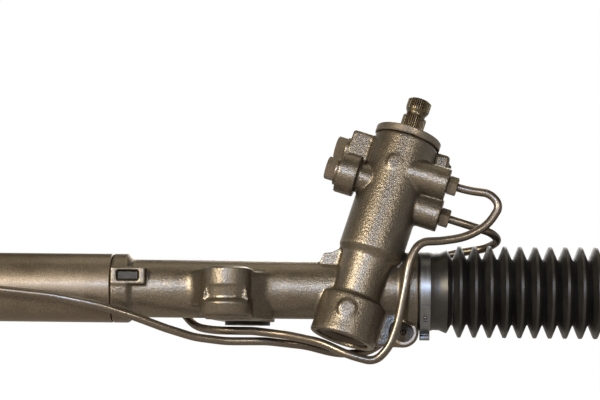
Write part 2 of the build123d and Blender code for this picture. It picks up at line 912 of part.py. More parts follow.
def cut_ring(start, width, floor):
    """Groove round the valve sleeve"""
    turn_on_pinion(
        [
            (floor, start),
            (sleeve_outer_radius + 1, start),
            (sleeve_outer_radius + 1, start + width),
            (floor, start + width),
        ],
        Mode.SUBTRACT,
    )


def make_sleeve_rings():
    """Four sealing rings in the sleeve's grooves"""
    with BuildPart() as rings:
        for station in ring_stations:
            turn_on_pinion(
                [
                    (sleeve_outer_radius - 1.15, station + 0.05),
                    (valve_bore_radius - running_gap, station + 0.05),
                    (valve_bore_radius - running_gap, station + ring_width - 0.05),
                    (sleeve_outer_radius - 1.15, station + ring_width - 0.05),
                ]
            )
    return rings.part


def spline_outline(plane):
    """Star outline of the splines"""
    points = []
    for tooth in range(spline_teeth):
        middle = 2 * pi * tooth / spline_teeth
        for offset, radius in (
            (-0.18, spline_radius),
            (0.18, spline_radius),
            (0.5, spline_radius - spline_depth),
        ):
            angle = middle + offset * 2 * pi / spline_teeth
            points.append((radius * cos(angle), radius * sin(angle)))
    return profile(plane, points)


def make_input_shaft():
    """Spool of the rotary valve with the splined top that the steering column clamps"""
    with BuildPart() as shaft:
        extrude(spline_outline(across_pinion(spline_start)), amount=shaft_top - spline_start)
        turn_on_pinion(
            [
                (spline_radius + 2, groove_bottom - 0.3),
                (spline_radius + 2, groove_top + 2.0),
                (spline_radius, groove_top),
                (spline_radius - 0.5, groove_top - 1.6, 1.5),
                (groove_radius, groove_bottom + 3.6, 2.0),
                (groove_radius, groove_bottom + 1.2, 1.0),
            ],
            Mode.SUBTRACT,
        )
        turn_on_pinion(
            [
                (spline_radius - 1.0, shaft_top + 0.1),
                (spline_radius + 1.0, shaft_top + 0.1),
                (spline_radius + 1.0, shaft_top - 1.6),
            ],
            Mode.SUBTRACT,
        )
        turn_on_pinion(
            [
                (0, skirt_end + 0.4),
                (spool_radius, skirt_end + 0.4, 0.5),
                (spool_radius, sleeve_end - 0.5, 0.5),
                (shaft_radius, sleeve_end + 0.5),
                (shaft_radius, spline_start, 0.6),
                (0, spline_start),
            ]
        )
        with BuildSketch(across_pinion(cup_start + 6)) as dog:
            Circle(spool_radius - 0.2)
            Rectangle(2 * spool_radius + 2, 2 * dog_half, mode=Mode.INTERSECT)
        extrude(dog.sketch, amount=skirt_end - cup_start - 5)
        for slot in range(6):
            angle = 60 * slot
            out = pinion_side * cos(radians(angle)) + tower_back * sin(radians(angle))
            start = pinion_foot + pinion_up * (skirt_end + 8) + out * (spool_radius - 1.4)
            with BuildSketch(Plane(origin=start, x_dir=out, z_dir=pinion_up)) as groove:
                Rectangle(3.0, 3.2, align=(Align.MIN, Align.CENTER))
            extrude(groove.sketch, amount=sleeve_end - skirt_end - 16, mode=Mode.SUBTRACT)
        rod(across_pinion(cup_start), torsion_bore, shaft_top - cup_start - 4, Mode.SUBTRACT)
        cross = Plane(
            origin=pinion_foot + pinion_up * top_pin_height - tower_back * 20,
            x_dir=pinion_side,
            z_dir=tower_back,
        )
        rod(cross, pin_radius + fit_gap, 40.0, Mode.SUBTRACT)
    return shaft.part


def make_torsion_bar():
    """Thin bar that lets the input shaft twist against the pinion"""
    bottom = cup_start - 9.5
    with BuildPart() as bar:
        turn_on_pinion(
            [
                (0, bottom),
                (torsion_radius, bottom, 0.3),
                (torsion_radius, cup_start + 3),
                (torsion_radius - 0.5, cup_start + 5),
                (torsion_radius - 0.5, top_pin_height - 8),
                (torsion_bore - running_gap, top_pin_height - 5),
                (torsion_bore - running_gap, shaft_top - 8, 0.3),
                (0, shaft_top - 8),
            ]
        )
        cross = Plane(
            origin=pinion_foot + pinion_up * top_pin_height - tower_back * 20,
            x_dir=pinion_side,
            z_dir=tower_back,
        )
        rod(cross, pin_radius + 0.5, 40.0, Mode.SUBTRACT)
    return bar.part


def make_top_pin():
    """Cross pin through the input shaft and the torsion bar"""
    start = Plane(
        origin=pinion_foot + pinion_up * top_pin_height - tower_back * (shaft_radius - 0.3),
        x_dir=pinion_side,
        z_dir=tower_back,
    )
    with BuildPart() as pin:
        rod(start, pin_radius, 2 * (shaft_radius - 0.3))
    return pin.part


def make_sleeve_pin():
    """Short pin that turns the sleeve with the pinion"""
    start = Plane(
        origin=pinion_foot + pinion_up * (sleeve_start + 2.5) + tower_back * 11.2,
        x_dir=pinion_side,
        z_dir=tower_back,
    )
    with BuildPart() as pin:
        rod(start, pin_radius, sleeve_outer_radius - 11.4)
    return pin.part


# ---------------------------------------------------------------- bearings, covers and rack guide

race_wall = 2.4
ball_count = 8
bearing_ball_radius = 1.9
bearing_nut_across = 19.0
bearing_nut_height = 5.9


def make_bearing_outer():
    """Outer ring of the ball bearing, grooved for the balls"""
    middle = bearing_bottom + bearing_height / 2
    with BuildPart() as ring:
        turn_on_pinion(
            [
                (bearing_radius - race_wall, bearing_bottom),
                (bearing_radius - fit_gap, bearing_bottom, 0.5),
                (bearing_radius - fit_gap, bearing_floor, 0.5),
                (bearing_radius - race_wall, bearing_floor),
            ]
        )
        cut_race(middle)
    return ring.part


def make_bearing_inner():
    """Inner ring of the ball bearing, on the pinion's lower shaft"""
    middle = bearing_bottom + bearing_height / 2
    with BuildPart() as ring:
        turn_on_pinion(
            [
                (bearing_shaft_radius + fit_gap, bearing_bottom),
                (bearing_shaft_radius + race_wall, bearing_bottom),
                (bearing_shaft_radius + race_wall, bearing_floor - fit_gap),
                (bearing_shaft_radius + fit_gap, bearing_floor - fit_gap),
            ]
        )
        cut_race(middle)
    return ring.part


def cut_race(middle):
    """Ball groove shared by both rings"""
    track = (bearing_radius + bearing_shaft_radius) / 2
    with BuildSketch(pinion_cut) as groove:
        with Locations((track, middle)):
            Circle(bearing_ball_radius + running_gap)
    revolve(groove.sketch, axis=pinion_axis, mode=Mode.SUBTRACT)


def make_bearing_balls():
    """Balls of the bearing"""
    track = (bearing_radius + bearing_shaft_radius) / 2
    middle = bearing_bottom + bearing_height / 2
    with BuildPart(across_pinion(middle)) as balls:
        with PolarLocations(track, ball_count):
            Sphere(bearing_ball_radius)
    return balls.part


def make_bearing_nut():
    """Nut that holds the bearing on the pinion"""
    with BuildPart() as nut:
        hexagon(across_pinion(bearing_bottom - 6.0), bearing_nut_across, bearing_nut_height)
        rod(
            across_pinion(bearing_bottom - 7.0),
            bearing_shaft_radius + fit_gap,
            8.0,
            Mode.SUBTRACT,
        )
    return nut.part


def make_bottom_plug():
    """Pressed cap that closes the cup under the pinion"""
    outer = plug_bore_radius - fit_gap
    with BuildPart() as plug:
        turn_on_pinion(
            [
                (0, cup_bottom + 5.0),
                (outer - 4.5, cup_bottom + 5.0, 1.0),
                (outer - 2.5, cup_bottom + 2.0, 0.8),
                (outer, cup_bottom + 2.0),
                (outer, plug_floor - 0.1),
                (outer - 2.0, plug_floor - 0.1),
                (outer - 2.0, cup_bottom + 6.8),
                (0, cup_bottom + 6.8),
            ]
        )
    return plug.part


def make_valve_cover():
    """Ring cover on the tower; holds the upper bearing and the shaft seal"""
    top = tower_top + cover_height
    with BuildPart() as cover:
        turn_on_pinion(
            [
                (shaft_radius + 1.0, sleeve_end + 1.5),
                (valve_bore_radius - fit_gap, sleeve_end + 1.5),
                (valve_bore_radius - fit_gap, tower_top + 0.2),
                (cover_radius - 0.6, tower_top + 0.2),
                (cover_radius, tower_top + 1.0),
                (cover_radius, top - 1.0, 0.9),
                (cover_radius - 4.0, top, 0.5),
                (shaft_radius + seal_pocket_wall, top),
                (shaft_radius + seal_pocket_wall, top - seal_pocket_depth),
                (shaft_radius + bearing_ring_wall, top - seal_pocket_depth),
                (shaft_radius + bearing_ring_wall, sleeve_end + 3.0),
                (shaft_radius + 1.0, sleeve_end + 3.0),
            ]
        )
    return cover.part


def make_rack_guide():
    """Sliding guide that presses the rack into the pinion"""
    with BuildPart() as guide:
        rod(guide_plane(guide_front), guide_radius, guide_length - guide_front)
        turn_on_rack(
            [
                (pinion_x - 30, 0),
                (pinion_x - 30, rack_radius + running_gap),
                (pinion_x + 30, rack_radius + running_gap),
                (pinion_x + 30, 0),
            ],
            Mode.SUBTRACT,
        )
        rod(guide_plane(guide_pocket_floor), guide_pocket_radius, guide_length, Mode.SUBTRACT)
    return guide.part


def make_yoke_spring():
    """Coil spring between the guide and its plug"""
    wire = spring_wire_radius
    start = guide_pocket_floor + 0.1 + wire
    length = guide_plug_start - 0.3 - start - wire
    with BuildPart() as spring:
        with BuildLine() as path:
            foot = guide_plane(start)
            Helix(
                length / spring_turns,
                length,
                spring_radius,
                center=foot.origin,
                direction=foot.z_dir,
            )
        with BuildSketch(path.line ^ 0):
            Circle(wire)
        sweep(is_frenet=True)
    return spring.part


def make_yoke_plug():
    """Adjusting plug, hollowed for a hexagon key"""
    with BuildPart() as plug:
        rod(guide_plane(guide_plug_start), guide_plug_radius, plug_end - guide_plug_start)
        key_floor = guide_plane(plug_end - plug_key_depth)
        hexagon(key_floor, plug_key_across, plug_key_depth + 1.0, Mode.SUBTRACT)
    return plug.part


def make_yoke_locknut():
    """Lock nut that holds the adjusting plug"""
    with BuildPart() as nut:
        hexagon(guide_plane(guide_boss_end + 0.1), locknut_across, locknut_height)
        rod(guide_plane(guide_boss_end - 1), guide_plug_radius + fit_gap, 10.0, Mode.SUBTRACT)
    return nut.part


# ---------------------------------------------------------------- port plugs, nuts and pipes


def make_port_plug(port):
    """Hexagon plug in a hose port"""
    back = port["back"]
    height = port["height"]
    collar_face = port["face"] - plug_collar
    with BuildPart() as plug:
        hexagon(port_plane(collar_face - plug_head, back, height), plug_across, plug_head)
        rod(port_plane(collar_face, back, height), plug_collar_radius, plug_collar - 0.1)
        shank = port_plane(port["face"] - 0.2, back, height)
        rod(shank, plug_shank_radius, plug_shank_length)
    return plug.part


def nut_on(plane):
    """Tube nut whose hexagon stands on a port face"""
    hexagon(plane.offset(0.1), nut_across, nut_length)
    rod(plane.offset(0.2 - nut_nose_length), nut_nose_radius, nut_nose_length)
    rod(plane.offset(-nut_nose_length - 1), pipe_radius + fit_gap, 30.0, Mode.SUBTRACT)


def tube_port_face(x, back):
    """Face of a port on the cylinder tube"""
    origin = (x, rack_y + back * (tube_radius + tube_port_length), 0)
    return Plane(origin=origin, x_dir=(1, 0, 0), z_dir=(0, back, 0))


def make_pipe_nuts():
    """The four tube nuts"""
    with BuildPart() as nuts:
        faces = [port_plane(port["face"], port["back"], port["height"]) for port in right_ports]
        faces += [tube_port_face(tube_port_left_x, -1), tube_port_face(tube_port_right_x, 1)]
        for plane in faces:
            with BuildPart(mode=Mode.PRIVATE) as nut:
                nut_on(plane)
            add(nut.part)
    return nuts.part


def bend_radii(points):
    """Largest tangent arc that each corner's two runs allow"""
    radii = []
    for before, corner, after in zip(points, points[1:], points[2:]):
        one = Vector(corner) - Vector(before)
        two = Vector(after) - Vector(corner)
        turn = radians(one.get_angle(two))
        run = min(one.length, two.length)
        radii.append(min(60.0, 0.45 * run / tan(turn / 2)))
    return radii


def make_pipe(points):
    """Steel pipe along straight runs joined by tangent arcs"""
    radii = bend_radii(points)
    print("pipe bend radii", [round(radius, 1) for radius in radii])
    with BuildPart() as pipe:
        with BuildLine() as path:
            FilletPolyline(*points, radius=radii)
        with BuildSketch(Plane(origin=points[0], z_dir=Vector(points[1]) - Vector(points[0]))):
            Circle(pipe_radius)
        sweep()
    length = sum(edge.length for edge in path.edges())
    print("pipe volume ratio", round(pipe.part.volume / (pi * pipe_radius**2 * length), 4))
    return pipe.part


def valve_point(port, out):
    """Point on a right-hand port's axis, out from its face"""
    return port_plane(port["face"] + out, port["back"], port["height"]).origin


def from_rack(x, back, up):
    """Point given by its place along, behind and above the rack axis"""
    return (x, rack_y + back, up)


def front_pipe_route():
    """From the upper valve port, down in front of the neck, under the cup and up behind the barrel"""
    start = valve_point(port_right_upper, -nut_nose_length)
    out = valve_point(port_right_upper, nut_length + 8)
    return [
        tuple(start),
        tuple(out),
        from_rack(188, -17, 70),
        from_rack(195, -18, 61),
        from_rack(186, -19, 47),
        from_rack(170, -21, 38),
        from_rack(152, -25, 35),
        from_rack(137, -30, 34),
        from_rack(130, -33, 21),
        from_rack(127, -34.5, 2),
        from_rack(122, -35, -24),
        from_rack(116, -35, -41),
        from_rack(106, -34, -51.5),
        from_rack(88, -33, -47),
        from_rack(68, -26, -38),
        from_rack(44, -14, -33),
        from_rack(18, -4, -30),
        from_rack(-10, 6, -29.8),
        from_rack(-26, 18, -27),
        from_rack(-38, 30, -14),
        from_rack(joint_x + 28, 36, -4),
        from_rack(joint_x + 4, 42, 0.5),
        from_rack(tube_port_right_x + 9, 54, 0.6),
        from_rack(tube_port_right_x, 48, 0),
        from_rack(tube_port_right_x, tube_radius + tube_port_length - nut_nose_length, 0),
    ]


def rear_pipe_route():
    """From the lower valve port, round behind the neck, under the barrel and along the tube's front"""
    start = valve_point(port_right_lower, -nut_nose_length)
    out = valve_point(port_right_lower, nut_length + 8)
    return [
        tuple(start),
        tuple(out),
        from_rack(190, -1, 43),
        from_rack(196, 10, 38),
        from_rack(188, 24, 33),
        from_rack(168, 29, 30),
        from_rack(148, 32, 25),
        from_rack(134, 35, 12),
        from_rack(128, 35, -8),
        from_rack(120, 31, -28),
        from_rack(104, 22, -44),
        from_rack(80, 14, -46),
        from_rack(56, 9, -40),
        from_rack(28, 6, -37.2),
        from_rack(-2, 0, -37.6),
        from_rack(-24, -8, -35),
        from_rack(-44, -17, -29),
        from_rack(joint_x + 18, -25, -21),
        from_rack(joint_x - 8, -31, -13),
        from_rack(joint_x - 40, -32.5, -7),
        from_rack(tube_port_left_x + 118, -33, -2.5),
        from_rack(tube_port_left_x + 60, -33.5, -1),
        from_rack(tube_port_left_x + 22, -38, -0.5),
        from_rack(tube_port_left_x + 8, -52, -0.5),
        from_rack(tube_port_left_x, -48, 0),
        from_rack(tube_port_left_x, -(tube_radius + tube_port_length - nut_nose_length), 0),
    ]


# ---------------------------------------------------------------- sockets, tie rods and bellows


def beside(ball_x, side, distance):
    """Station along X, out from a ball centre on the left (-1) or right (1)"""
    return ball_x + side * distance


def cut_lower_half(radius):
    """Leaves the upper half of the circle being sketched, ready to be turned"""
    Rectangle(4 * radius, 2 * radius, align=(Align.CENTER, Align.MAX), mode=Mode.SUBTRACT)


def make_ball_socket(ball_x, side):
    """Steel socket screwed into the rack end"""
    reach = -socket_back
    with BuildPart() as socket:
        turn_on_rack(
            [
                (beside(ball_x, side, reach - stud_length), 0),
                (beside(ball_x, side, reach - stud_length), stud_radius),
                (beside(ball_x, side, reach), stud_radius),
                (beside(ball_x, side, reach), socket_radius, 1.5),
                (beside(ball_x, side, socket_lip - 4), socket_radius, 1.0),
                (beside(ball_x, side, socket_lip), socket_radius - 5, 1.0),
                (beside(ball_x, side, socket_lip), 0),
            ]
        )
        with BuildSketch(rack_side) as hollow:
            with Locations((ball_x, 0)):
                Circle(socket_bore)
                cut_lower_half(socket_bore)
        revolve(hollow.sketch, axis=rack_axis, mode=Mode.SUBTRACT)
        turn_on_rack(
            [
                (beside(ball_x, side, 0), 0),
                (beside(ball_x, side, mouth_reach), mouth_reach * tan(radians(socket_mouth_angle))),
                (beside(ball_x, side, mouth_reach), 0),
            ],
            Mode.SUBTRACT,
        )
    return socket.part


def make_ball_seat(ball_x, side):
    """Plastic seat between the ball and its socket, open towards the rod"""
    outer = ball_radius + seat_wall
    inner = ball_radius + 0.1
    with BuildPart() as seat:
        with BuildSketch(rack_side) as shell:
            with Locations((ball_x, 0)):
                Circle(outer)
                Circle(inner, mode=Mode.SUBTRACT)
                cut_lower_half(outer)
        revolve(shell.sketch, axis=rack_axis)
        turn_on_rack(
            [
                (beside(ball_x, side, 0), 0),
                (beside(ball_x, side, mouth_reach), mouth_reach * tan(radians(seat_mouth_angle))),
                (beside(ball_x, side, mouth_reach), 0),
            ],
            Mode.SUBTRACT,
        )
    return seat.part


def make_tie_rod(ball_x, side):
    """Tie rod with its ball, wrench flats and threaded end"""
    end = beside(ball_x, side, rod_length)
    with BuildPart() as tie:
        with BuildSketch(rack_side) as ball:
            with Locations((ball_x, 0)):
                Circle(ball_radius)
                cut_lower_half(ball_radius)
        revolve(ball.sketch, axis=rack_axis)
        turn_on_rack(
            [
                (beside(ball_x, side, 2), 0),
                (beside(ball_x, side, 2), neck_radius),
                (beside(ball_x, side, 22), neck_radius),
                (beside(ball_x, side, 28), rod_radius),
                (beside(ball_x, side, clip_station - 14), rod_radius),
                (beside(ball_x, side, clip_station - 13), clip_seat_radius),
                (beside(ball_x, side, clip_station + 3), clip_seat_radius),
                (beside(ball_x, side, clip_station + 4), rod_radius),
                (beside(ball_x, side, rod_length - thread_length), rod_radius),
                (beside(ball_x, side, rod_length - thread_length), thread_radius),
                (beside(ball_x, side, rod_length), thread_radius, 1.0),
                (beside(ball_x, side, rod_length), 0),
            ]
        )
        for up in (-1, 1):
            flat = Plane(
                origin=(
                    end - side * wrench_flats_from_end,
                    rack_y,
                    up * (rod_radius - wrench_flat_depth),
                ),
                z_dir=(0, 0, up),
                x_dir=(1, 0, 0),
            )
            with BuildSketch(flat) as wrench:
                Rectangle(wrench_flat_length, 3 * rod_radius)
            extrude(wrench.sketch, amount=5, mode=Mode.SUBTRACT)
    return tie.part


def make_jam_nut(ball_x, side):
    """Nut that locks the outer end on the tie rod's thread"""
    x = beside(ball_x, side, rod_length - thread_length)
    with BuildPart() as nut:
        hexagon(across_rack(x), jam_nut_across, -side * jam_nut_length)
        rod(across_rack(x - 15), rod_radius + fit_gap, 30.0, Mode.SUBTRACT)
    return nut.part


def make_bellows(start, side, end, seat_radius):
    """Convoluted rubber boot from the housing to the tie rod"""
    lip = seat_radius + running_gap
    outer = [
        (0, lip + lip_thickness),
        (lip_width, lip + lip_thickness),
        (lip_width + 5.5, lip + lip_thickness - 0.6),
        (first_crest - 10.0, crest_radius - 3.0),
        (first_crest - pitch / 2, valley_radius + 0.6),
    ]
    inner = [
        (0, lip),
        (lip_width + 0.5, lip),
        (first_crest - pitch / 2, valley_radius - bellows_wall),
    ]
    for number in range(crests):
        middle = first_crest + number * pitch
        valley = middle + pitch / 2
        outer += [(middle, crest_radius), (valley, valley_radius)]
        inner += [
            (middle, crest_radius - 2 * bellows_wall),
            (valley, valley_radius - bellows_wall),
        ]
    length = abs(end - start)
    last = first_crest + crests * pitch
    collar = clip_seat_radius + running_gap
    outer += [
        (last + 1, crest_radius - 7),
        (last + 6.5, valley_radius - 6),
        (length - 12, collar + 5),
        (length - 10, collar + lip_thickness),
        (length, collar + lip_thickness),
    ]
    inner += [
        (last + 1, crest_radius - 10),
        (last + 6.5, valley_radius - 8),
        (length - 14, collar + 3),
        (length - 11, collar),
        (length, collar),
    ]
    corners = [(start + side * x, radius) for x, radius in outer + inner[::-1]]
    with BuildPart() as boot:
        turn_on_rack(corners)
    return boot.part


def make_band(start, side, seat_radius, width, thickness, ear):
    """Band clamp with its closed ear underneath"""
    inner = seat_radius + fit_gap
    outer = inner + thickness
    far = start + side * width
    with BuildPart() as band:
        turn_on_rack([(start, inner), (start, outer), (far, outer), (far, inner)])
        middle = (start + far) / 2
        ear_shape = [
            (-ear / 2, -inner - 0.2),
            (-ear / 2, -outer - ear * 0.45, 0.6),
            (ear / 2, -outer - ear * 0.45, 0.6),
            (ear / 2, -inner - 0.2),
        ]
        block(across_rack(middle - width * 0.4), ear_shape, width * 0.8)
        turn_on_rack(
            [(start - 9 * side, 0), (start - 9 * side, inner), (far + 9 * side, inner), (far + 9 * side, 0)],
            Mode.SUBTRACT,
        )
    return band.part


# ---------------------------------------------------------------- all pieces

small_band_seat = clip_seat_radius + running_gap + lip_thickness
seat_width = mouth_x - lip_x
sides = {
    "left": (ball_left_x, -1, tube_end_x + seat_width, tube_radius),
    "right": (ball_right_x, 1, lip_x, mouth_radius),
}

write(make_pinion_housing(), "pinion_housing")
write(make_cylinder_tube(), "cylinder_tube")
write(make_tube_port(tube_port_left_x, -1), "tube_port_left")
write(make_tube_port(tube_port_right_x, 1), "tube_port_right")
write(make_end_gland(), "end_gland")
write(
    ring_on_rack(gland_x - 2.0, gland_ring_width, tube_bore - 1.7, tube_bore - fit_gap),
    "gland_ring",
)
bush_pocket_radius = tunnel_radius + 2
write(
    ring_on_rack(
        gland_x + 3.1, rack_bush_width, rack_radius + running_gap, bush_pocket_radius - fit_gap
    ),
    "rack_bush",
)
write(make_rack_seal(joint_x - spigot_length), "inner_rack_seal")
write(make_rack_seal(gland_x + gland_length - seal_width), "outer_rack_seal")
write(make_bush_rubber(eye_x, eye_y), "right_bush_rubber")
write(make_bush_sleeve(eye_x, eye_y), "right_bush_sleeve")
write(make_left_bracket(), "left_bracket")
write(make_bush_rubber(bracket_x, bracket_eye_y), "left_bush_rubber")
write(make_bush_sleeve(bracket_x, bracket_eye_y), "left_bush_sleeve")

write(make_rack_bar(), "rack_bar")
write(make_piston(), "piston")
piston_ring_width = piston_groove_width - 0.2
write(
    ring_on_rack(
        piston_x - piston_ring_width / 2,
        piston_ring_width,
        tube_bore - piston_groove_depth + 0.1,
        tube_bore - running_gap,
    ),
    "piston_ring",
)

write(make_pinion_gear(), "pinion_gear")
write(make_valve_sleeve(), "valve_sleeve")
write(make_sleeve_rings(), "sleeve_rings")
write(make_sleeve_pin(), "sleeve_pin")
write(make_torsion_bar(), "torsion_bar")
write(make_input_shaft(), "input_shaft")
write(make_top_pin(), "torsion_bar_pin")

write(make_bearing_outer(), "bearing_outer_ring")
write(make_bearing_inner(), "bearing_inner_ring")
write(make_bearing_balls(), "bearing_balls")
write(make_bearing_nut(), "bearing_nut")
write(make_bottom_plug(), "bottom_plug")
for name, start, width in (("pinion_bush", 1.6, 7.0), ("pinion_seal", 9.0, 6.0)):
    ring = ring_on_pinion(
        pinion_face / 2 + start, width, journal_radius + running_gap, bush_outer_radius - fit_gap
    )
    write(ring, name)
write(make_valve_cover(), "valve_cover")
write(
    ring_on_pinion(
        sleeve_end + 3.1,
        7.8,
        shaft_radius + running_gap,
        shaft_radius + bearing_ring_wall - fit_gap,
    ),
    "upper_bearing",
)
write(
    ring_on_pinion(
        tower_top + cover_height - seal_pocket_depth + 0.1,
        shaft_seal_width,
        shaft_radius + running_gap,
        shaft_radius + seal_pocket_wall - fit_gap,
    ),
    "input_shaft_seal",
)

write(make_rack_guide(), "rack_guide")
write(make_yoke_spring(), "yoke_spring")
write(make_yoke_plug(), "yoke_plug")
write(make_yoke_locknut(), "yoke_locknut")
write(make_port_plug(port_left_front), "front_port_plug")
write(make_port_plug(port_left_rear), "rear_port_plug")
write(make_pipe_nuts(), "pipe_nuts")
write(make_pipe(front_pipe_route()), "front_pipe")
write(make_pipe(rear_pipe_route()), "rear_pipe")

for name, (ball_x, side, seat_x, seat_radius) in sides.items():
    small_end = beside(ball_x, side, clip_station)
    write(make_ball_socket(ball_x, side), name + "_socket")
    write(make_ball_seat(ball_x, side), name + "_ball_seat")
    write(make_tie_rod(ball_x, side), name + "_tie_rod")
    write(make_jam_nut(ball_x, side), name + "_jam_nut")
    write(make_bellows(seat_x, side, small_end, seat_radius), name + "_bellows")
    lip_outside = seat_radius + running_gap + lip_thickness
    band_start = seat_x + side * 1.0
    write(
        make_band(band_start, side, lip_outside, band_width, band_thickness, band_ear),
        name + "_large_clamp",
    )
    clip_start = small_end - side * clip_from_end
    write(
        make_band(clip_start, side, small_band_seat, clip_width, clip_thickness, clip_ear),
        name + "_small_clip",
    )
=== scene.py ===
"""Looks of the power steering rack: cast pinion housing with its valve tower, cylinder tube, feed pipes,
bellows and tie rods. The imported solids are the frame, and each section dresses one piece or a group of like
pieces. Metres, +X along the rack, +Z up."""

from math import cos, pi, radians, sin

import bpy
import numpy as np
from mathutils import Matrix, Vector


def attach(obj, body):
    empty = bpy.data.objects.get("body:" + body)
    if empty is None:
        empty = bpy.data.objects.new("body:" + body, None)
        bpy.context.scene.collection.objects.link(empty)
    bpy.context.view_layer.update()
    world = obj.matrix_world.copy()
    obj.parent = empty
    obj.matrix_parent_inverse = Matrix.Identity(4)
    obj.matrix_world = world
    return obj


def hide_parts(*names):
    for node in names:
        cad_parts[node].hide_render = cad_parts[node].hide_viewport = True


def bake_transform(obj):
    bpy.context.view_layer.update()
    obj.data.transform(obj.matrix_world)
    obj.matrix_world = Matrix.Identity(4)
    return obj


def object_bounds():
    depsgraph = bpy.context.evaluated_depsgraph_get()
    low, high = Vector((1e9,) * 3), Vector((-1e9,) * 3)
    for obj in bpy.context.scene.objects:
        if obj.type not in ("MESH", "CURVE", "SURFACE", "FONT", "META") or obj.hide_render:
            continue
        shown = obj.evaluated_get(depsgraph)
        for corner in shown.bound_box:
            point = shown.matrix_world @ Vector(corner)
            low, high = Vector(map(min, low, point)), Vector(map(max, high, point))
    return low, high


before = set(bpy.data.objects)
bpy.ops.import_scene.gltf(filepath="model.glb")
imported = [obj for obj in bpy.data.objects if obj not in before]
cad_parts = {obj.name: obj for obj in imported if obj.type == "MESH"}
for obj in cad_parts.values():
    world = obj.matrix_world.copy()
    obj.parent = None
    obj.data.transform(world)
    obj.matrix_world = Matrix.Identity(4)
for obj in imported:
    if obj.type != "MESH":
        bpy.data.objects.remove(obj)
solid_low, solid_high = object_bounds()

MM = 0.001
same_place = 0.002 * MM  # points closer than this are one

# ---------------------------------------------------------------- studio
# A white sweep of paper under and behind the rack. A warm lamp on the left and a weaker one on the right
# model it, a small cool one in front gives the metal its grey lights, and two wide ones lift top and back.

paper_white = (0.86, 0.86, 0.85, 1)
paper_glow = (0.5, 0.42, 0.32, 1)  # the warm tone in which the paper lights the underside
paper_brightness = 1.15
paper_seen = 0.86  # share of bright paper, the rest shows the rack's shadow
paper_in_metal = 0.36
rod_swing_low = -82 * MM  # lowest reach of a tie rod at the end of its swing
floor_height = min(solid_low.z, rod_swing_low) - 10 * MM
room_strength = 0.3
room_side, room_top = (0.86, 0.93, 1.0), (0.32, 0.25, 0.12)
lamp_target = Vector((0.06, 0.02, 0.02))
# Name, place, width, power and colour of each lamp
lamps = (
    ("warm_lamp", (-0.85, -1.35, 0.46), 0.4, 50.0, (1.0, 0.86, 0.64)),
    ("right_lamp", (0.6, -1.4, 0.42), 0.3, 10.0, (1.0, 0.89, 0.72)),
    ("cool_lamp", (-0.1, -1.6, 0.34), 0.2, 16.0, (0.44, 0.63, 1.0)),
    ("top_lamp", (0.1, 0.35, 1.6), 1.0, 6.0, (1.0, 0.9, 0.7)),
    ("rear_lamp", (0.3, 1.6, 0.7), 0.9, 12.0, (1.0, 0.96, 0.9)),
)
camera_place = (0.0986, -1.3874, -0.0573)
camera_turn = (94.965, -0.68, 1.88)  # degrees
camera_lens, camera_sensor = 117.0, 36.0


def deselect_all():
    """Leaves edit mode and selects nothing"""
    if bpy.context.mode != "OBJECT":
        bpy.ops.object.mode_set(mode="OBJECT")
    bpy.ops.object.select_all(action="DESELECT")


def edit_all():
    """Goes to edit mode with all of the active piece selected"""
    bpy.ops.object.mode_set(mode="EDIT")
    bpy.ops.mesh.select_all(action="SELECT")


def settle():
    """Applies the active piece's place, turn and size to its mesh"""
    bpy.ops.object.transform_apply(location=True, rotation=True, scale=True)


def modify(piece, name, kind, **settings):
    """Gives the active piece a modifier with its settings, and applies it"""
    modifier = piece.modifiers.new(name, kind)
    for setting, value in settings.items():
        setattr(modifier, setting, value)
    bpy.ops.object.modifier_apply(modifier=modifier.name)


def bare_material(name):
    """Material with its shader, and the coordinates of the object"""
    material = bpy.data.materials.new(name)
    material.use_nodes = True
    tree = material.node_tree
    place = tree.nodes.new("ShaderNodeTexCoord").outputs["Object"]
    return material, tree, tree.nodes["Principled BSDF"], place


def combined(tree, operation, first, second):
    """Result of a sum on two values, each a socket or a number"""
    step = tree.nodes.new("ShaderNodeMath")
    step.operation = operation
    for socket, value in zip(step.inputs, (first, second)):
        if isinstance(value, float):
            socket.default_value = value
        else:
            tree.links.new(value, socket)
    return step.outputs[0]


def range_of(tree, amount, low, high, start=0.3, end=0.7):
    """Number that runs from low to high as the amount does from start to end"""
    spread = tree.nodes.new("ShaderNodeMapRange")
    for name, value in (("From Min", start), ("From Max", end), ("To Min", low), ("To Max", high)):
        spread.inputs[name].default_value = value
    tree.links.new(amount, spread.inputs["Value"])
    return spread.outputs["Result"]


def two_tones(tree, amount, low, high, start=0.35, end=0.65):
    """Colour that runs from low to high as the amount does from start to end"""
    ramp = tree.nodes.new("ShaderNodeValToRGB")
    ramp.color_ramp.elements[0].position = start
    ramp.color_ramp.elements[0].color = (*low, 1)
    ramp.color_ramp.elements[1].position = end
    ramp.color_ramp.elements[1].color = (*high, 1)
    tree.links.new(amount, ramp.inputs["Fac"])
    return ramp.outputs["Color"]


def shared_surface(tree, share, first, second, output):
    """Shows the second shader by a share, and the first one for the rest"""
    mix = tree.nodes.new("ShaderNodeMixShader")
    for socket, value in zip(mix.inputs, (share, first.outputs[0], second.outputs[0])):
        tree.links.new(value, socket)
    tree.links.new(mix.outputs[0], tree.nodes[output].inputs[0])


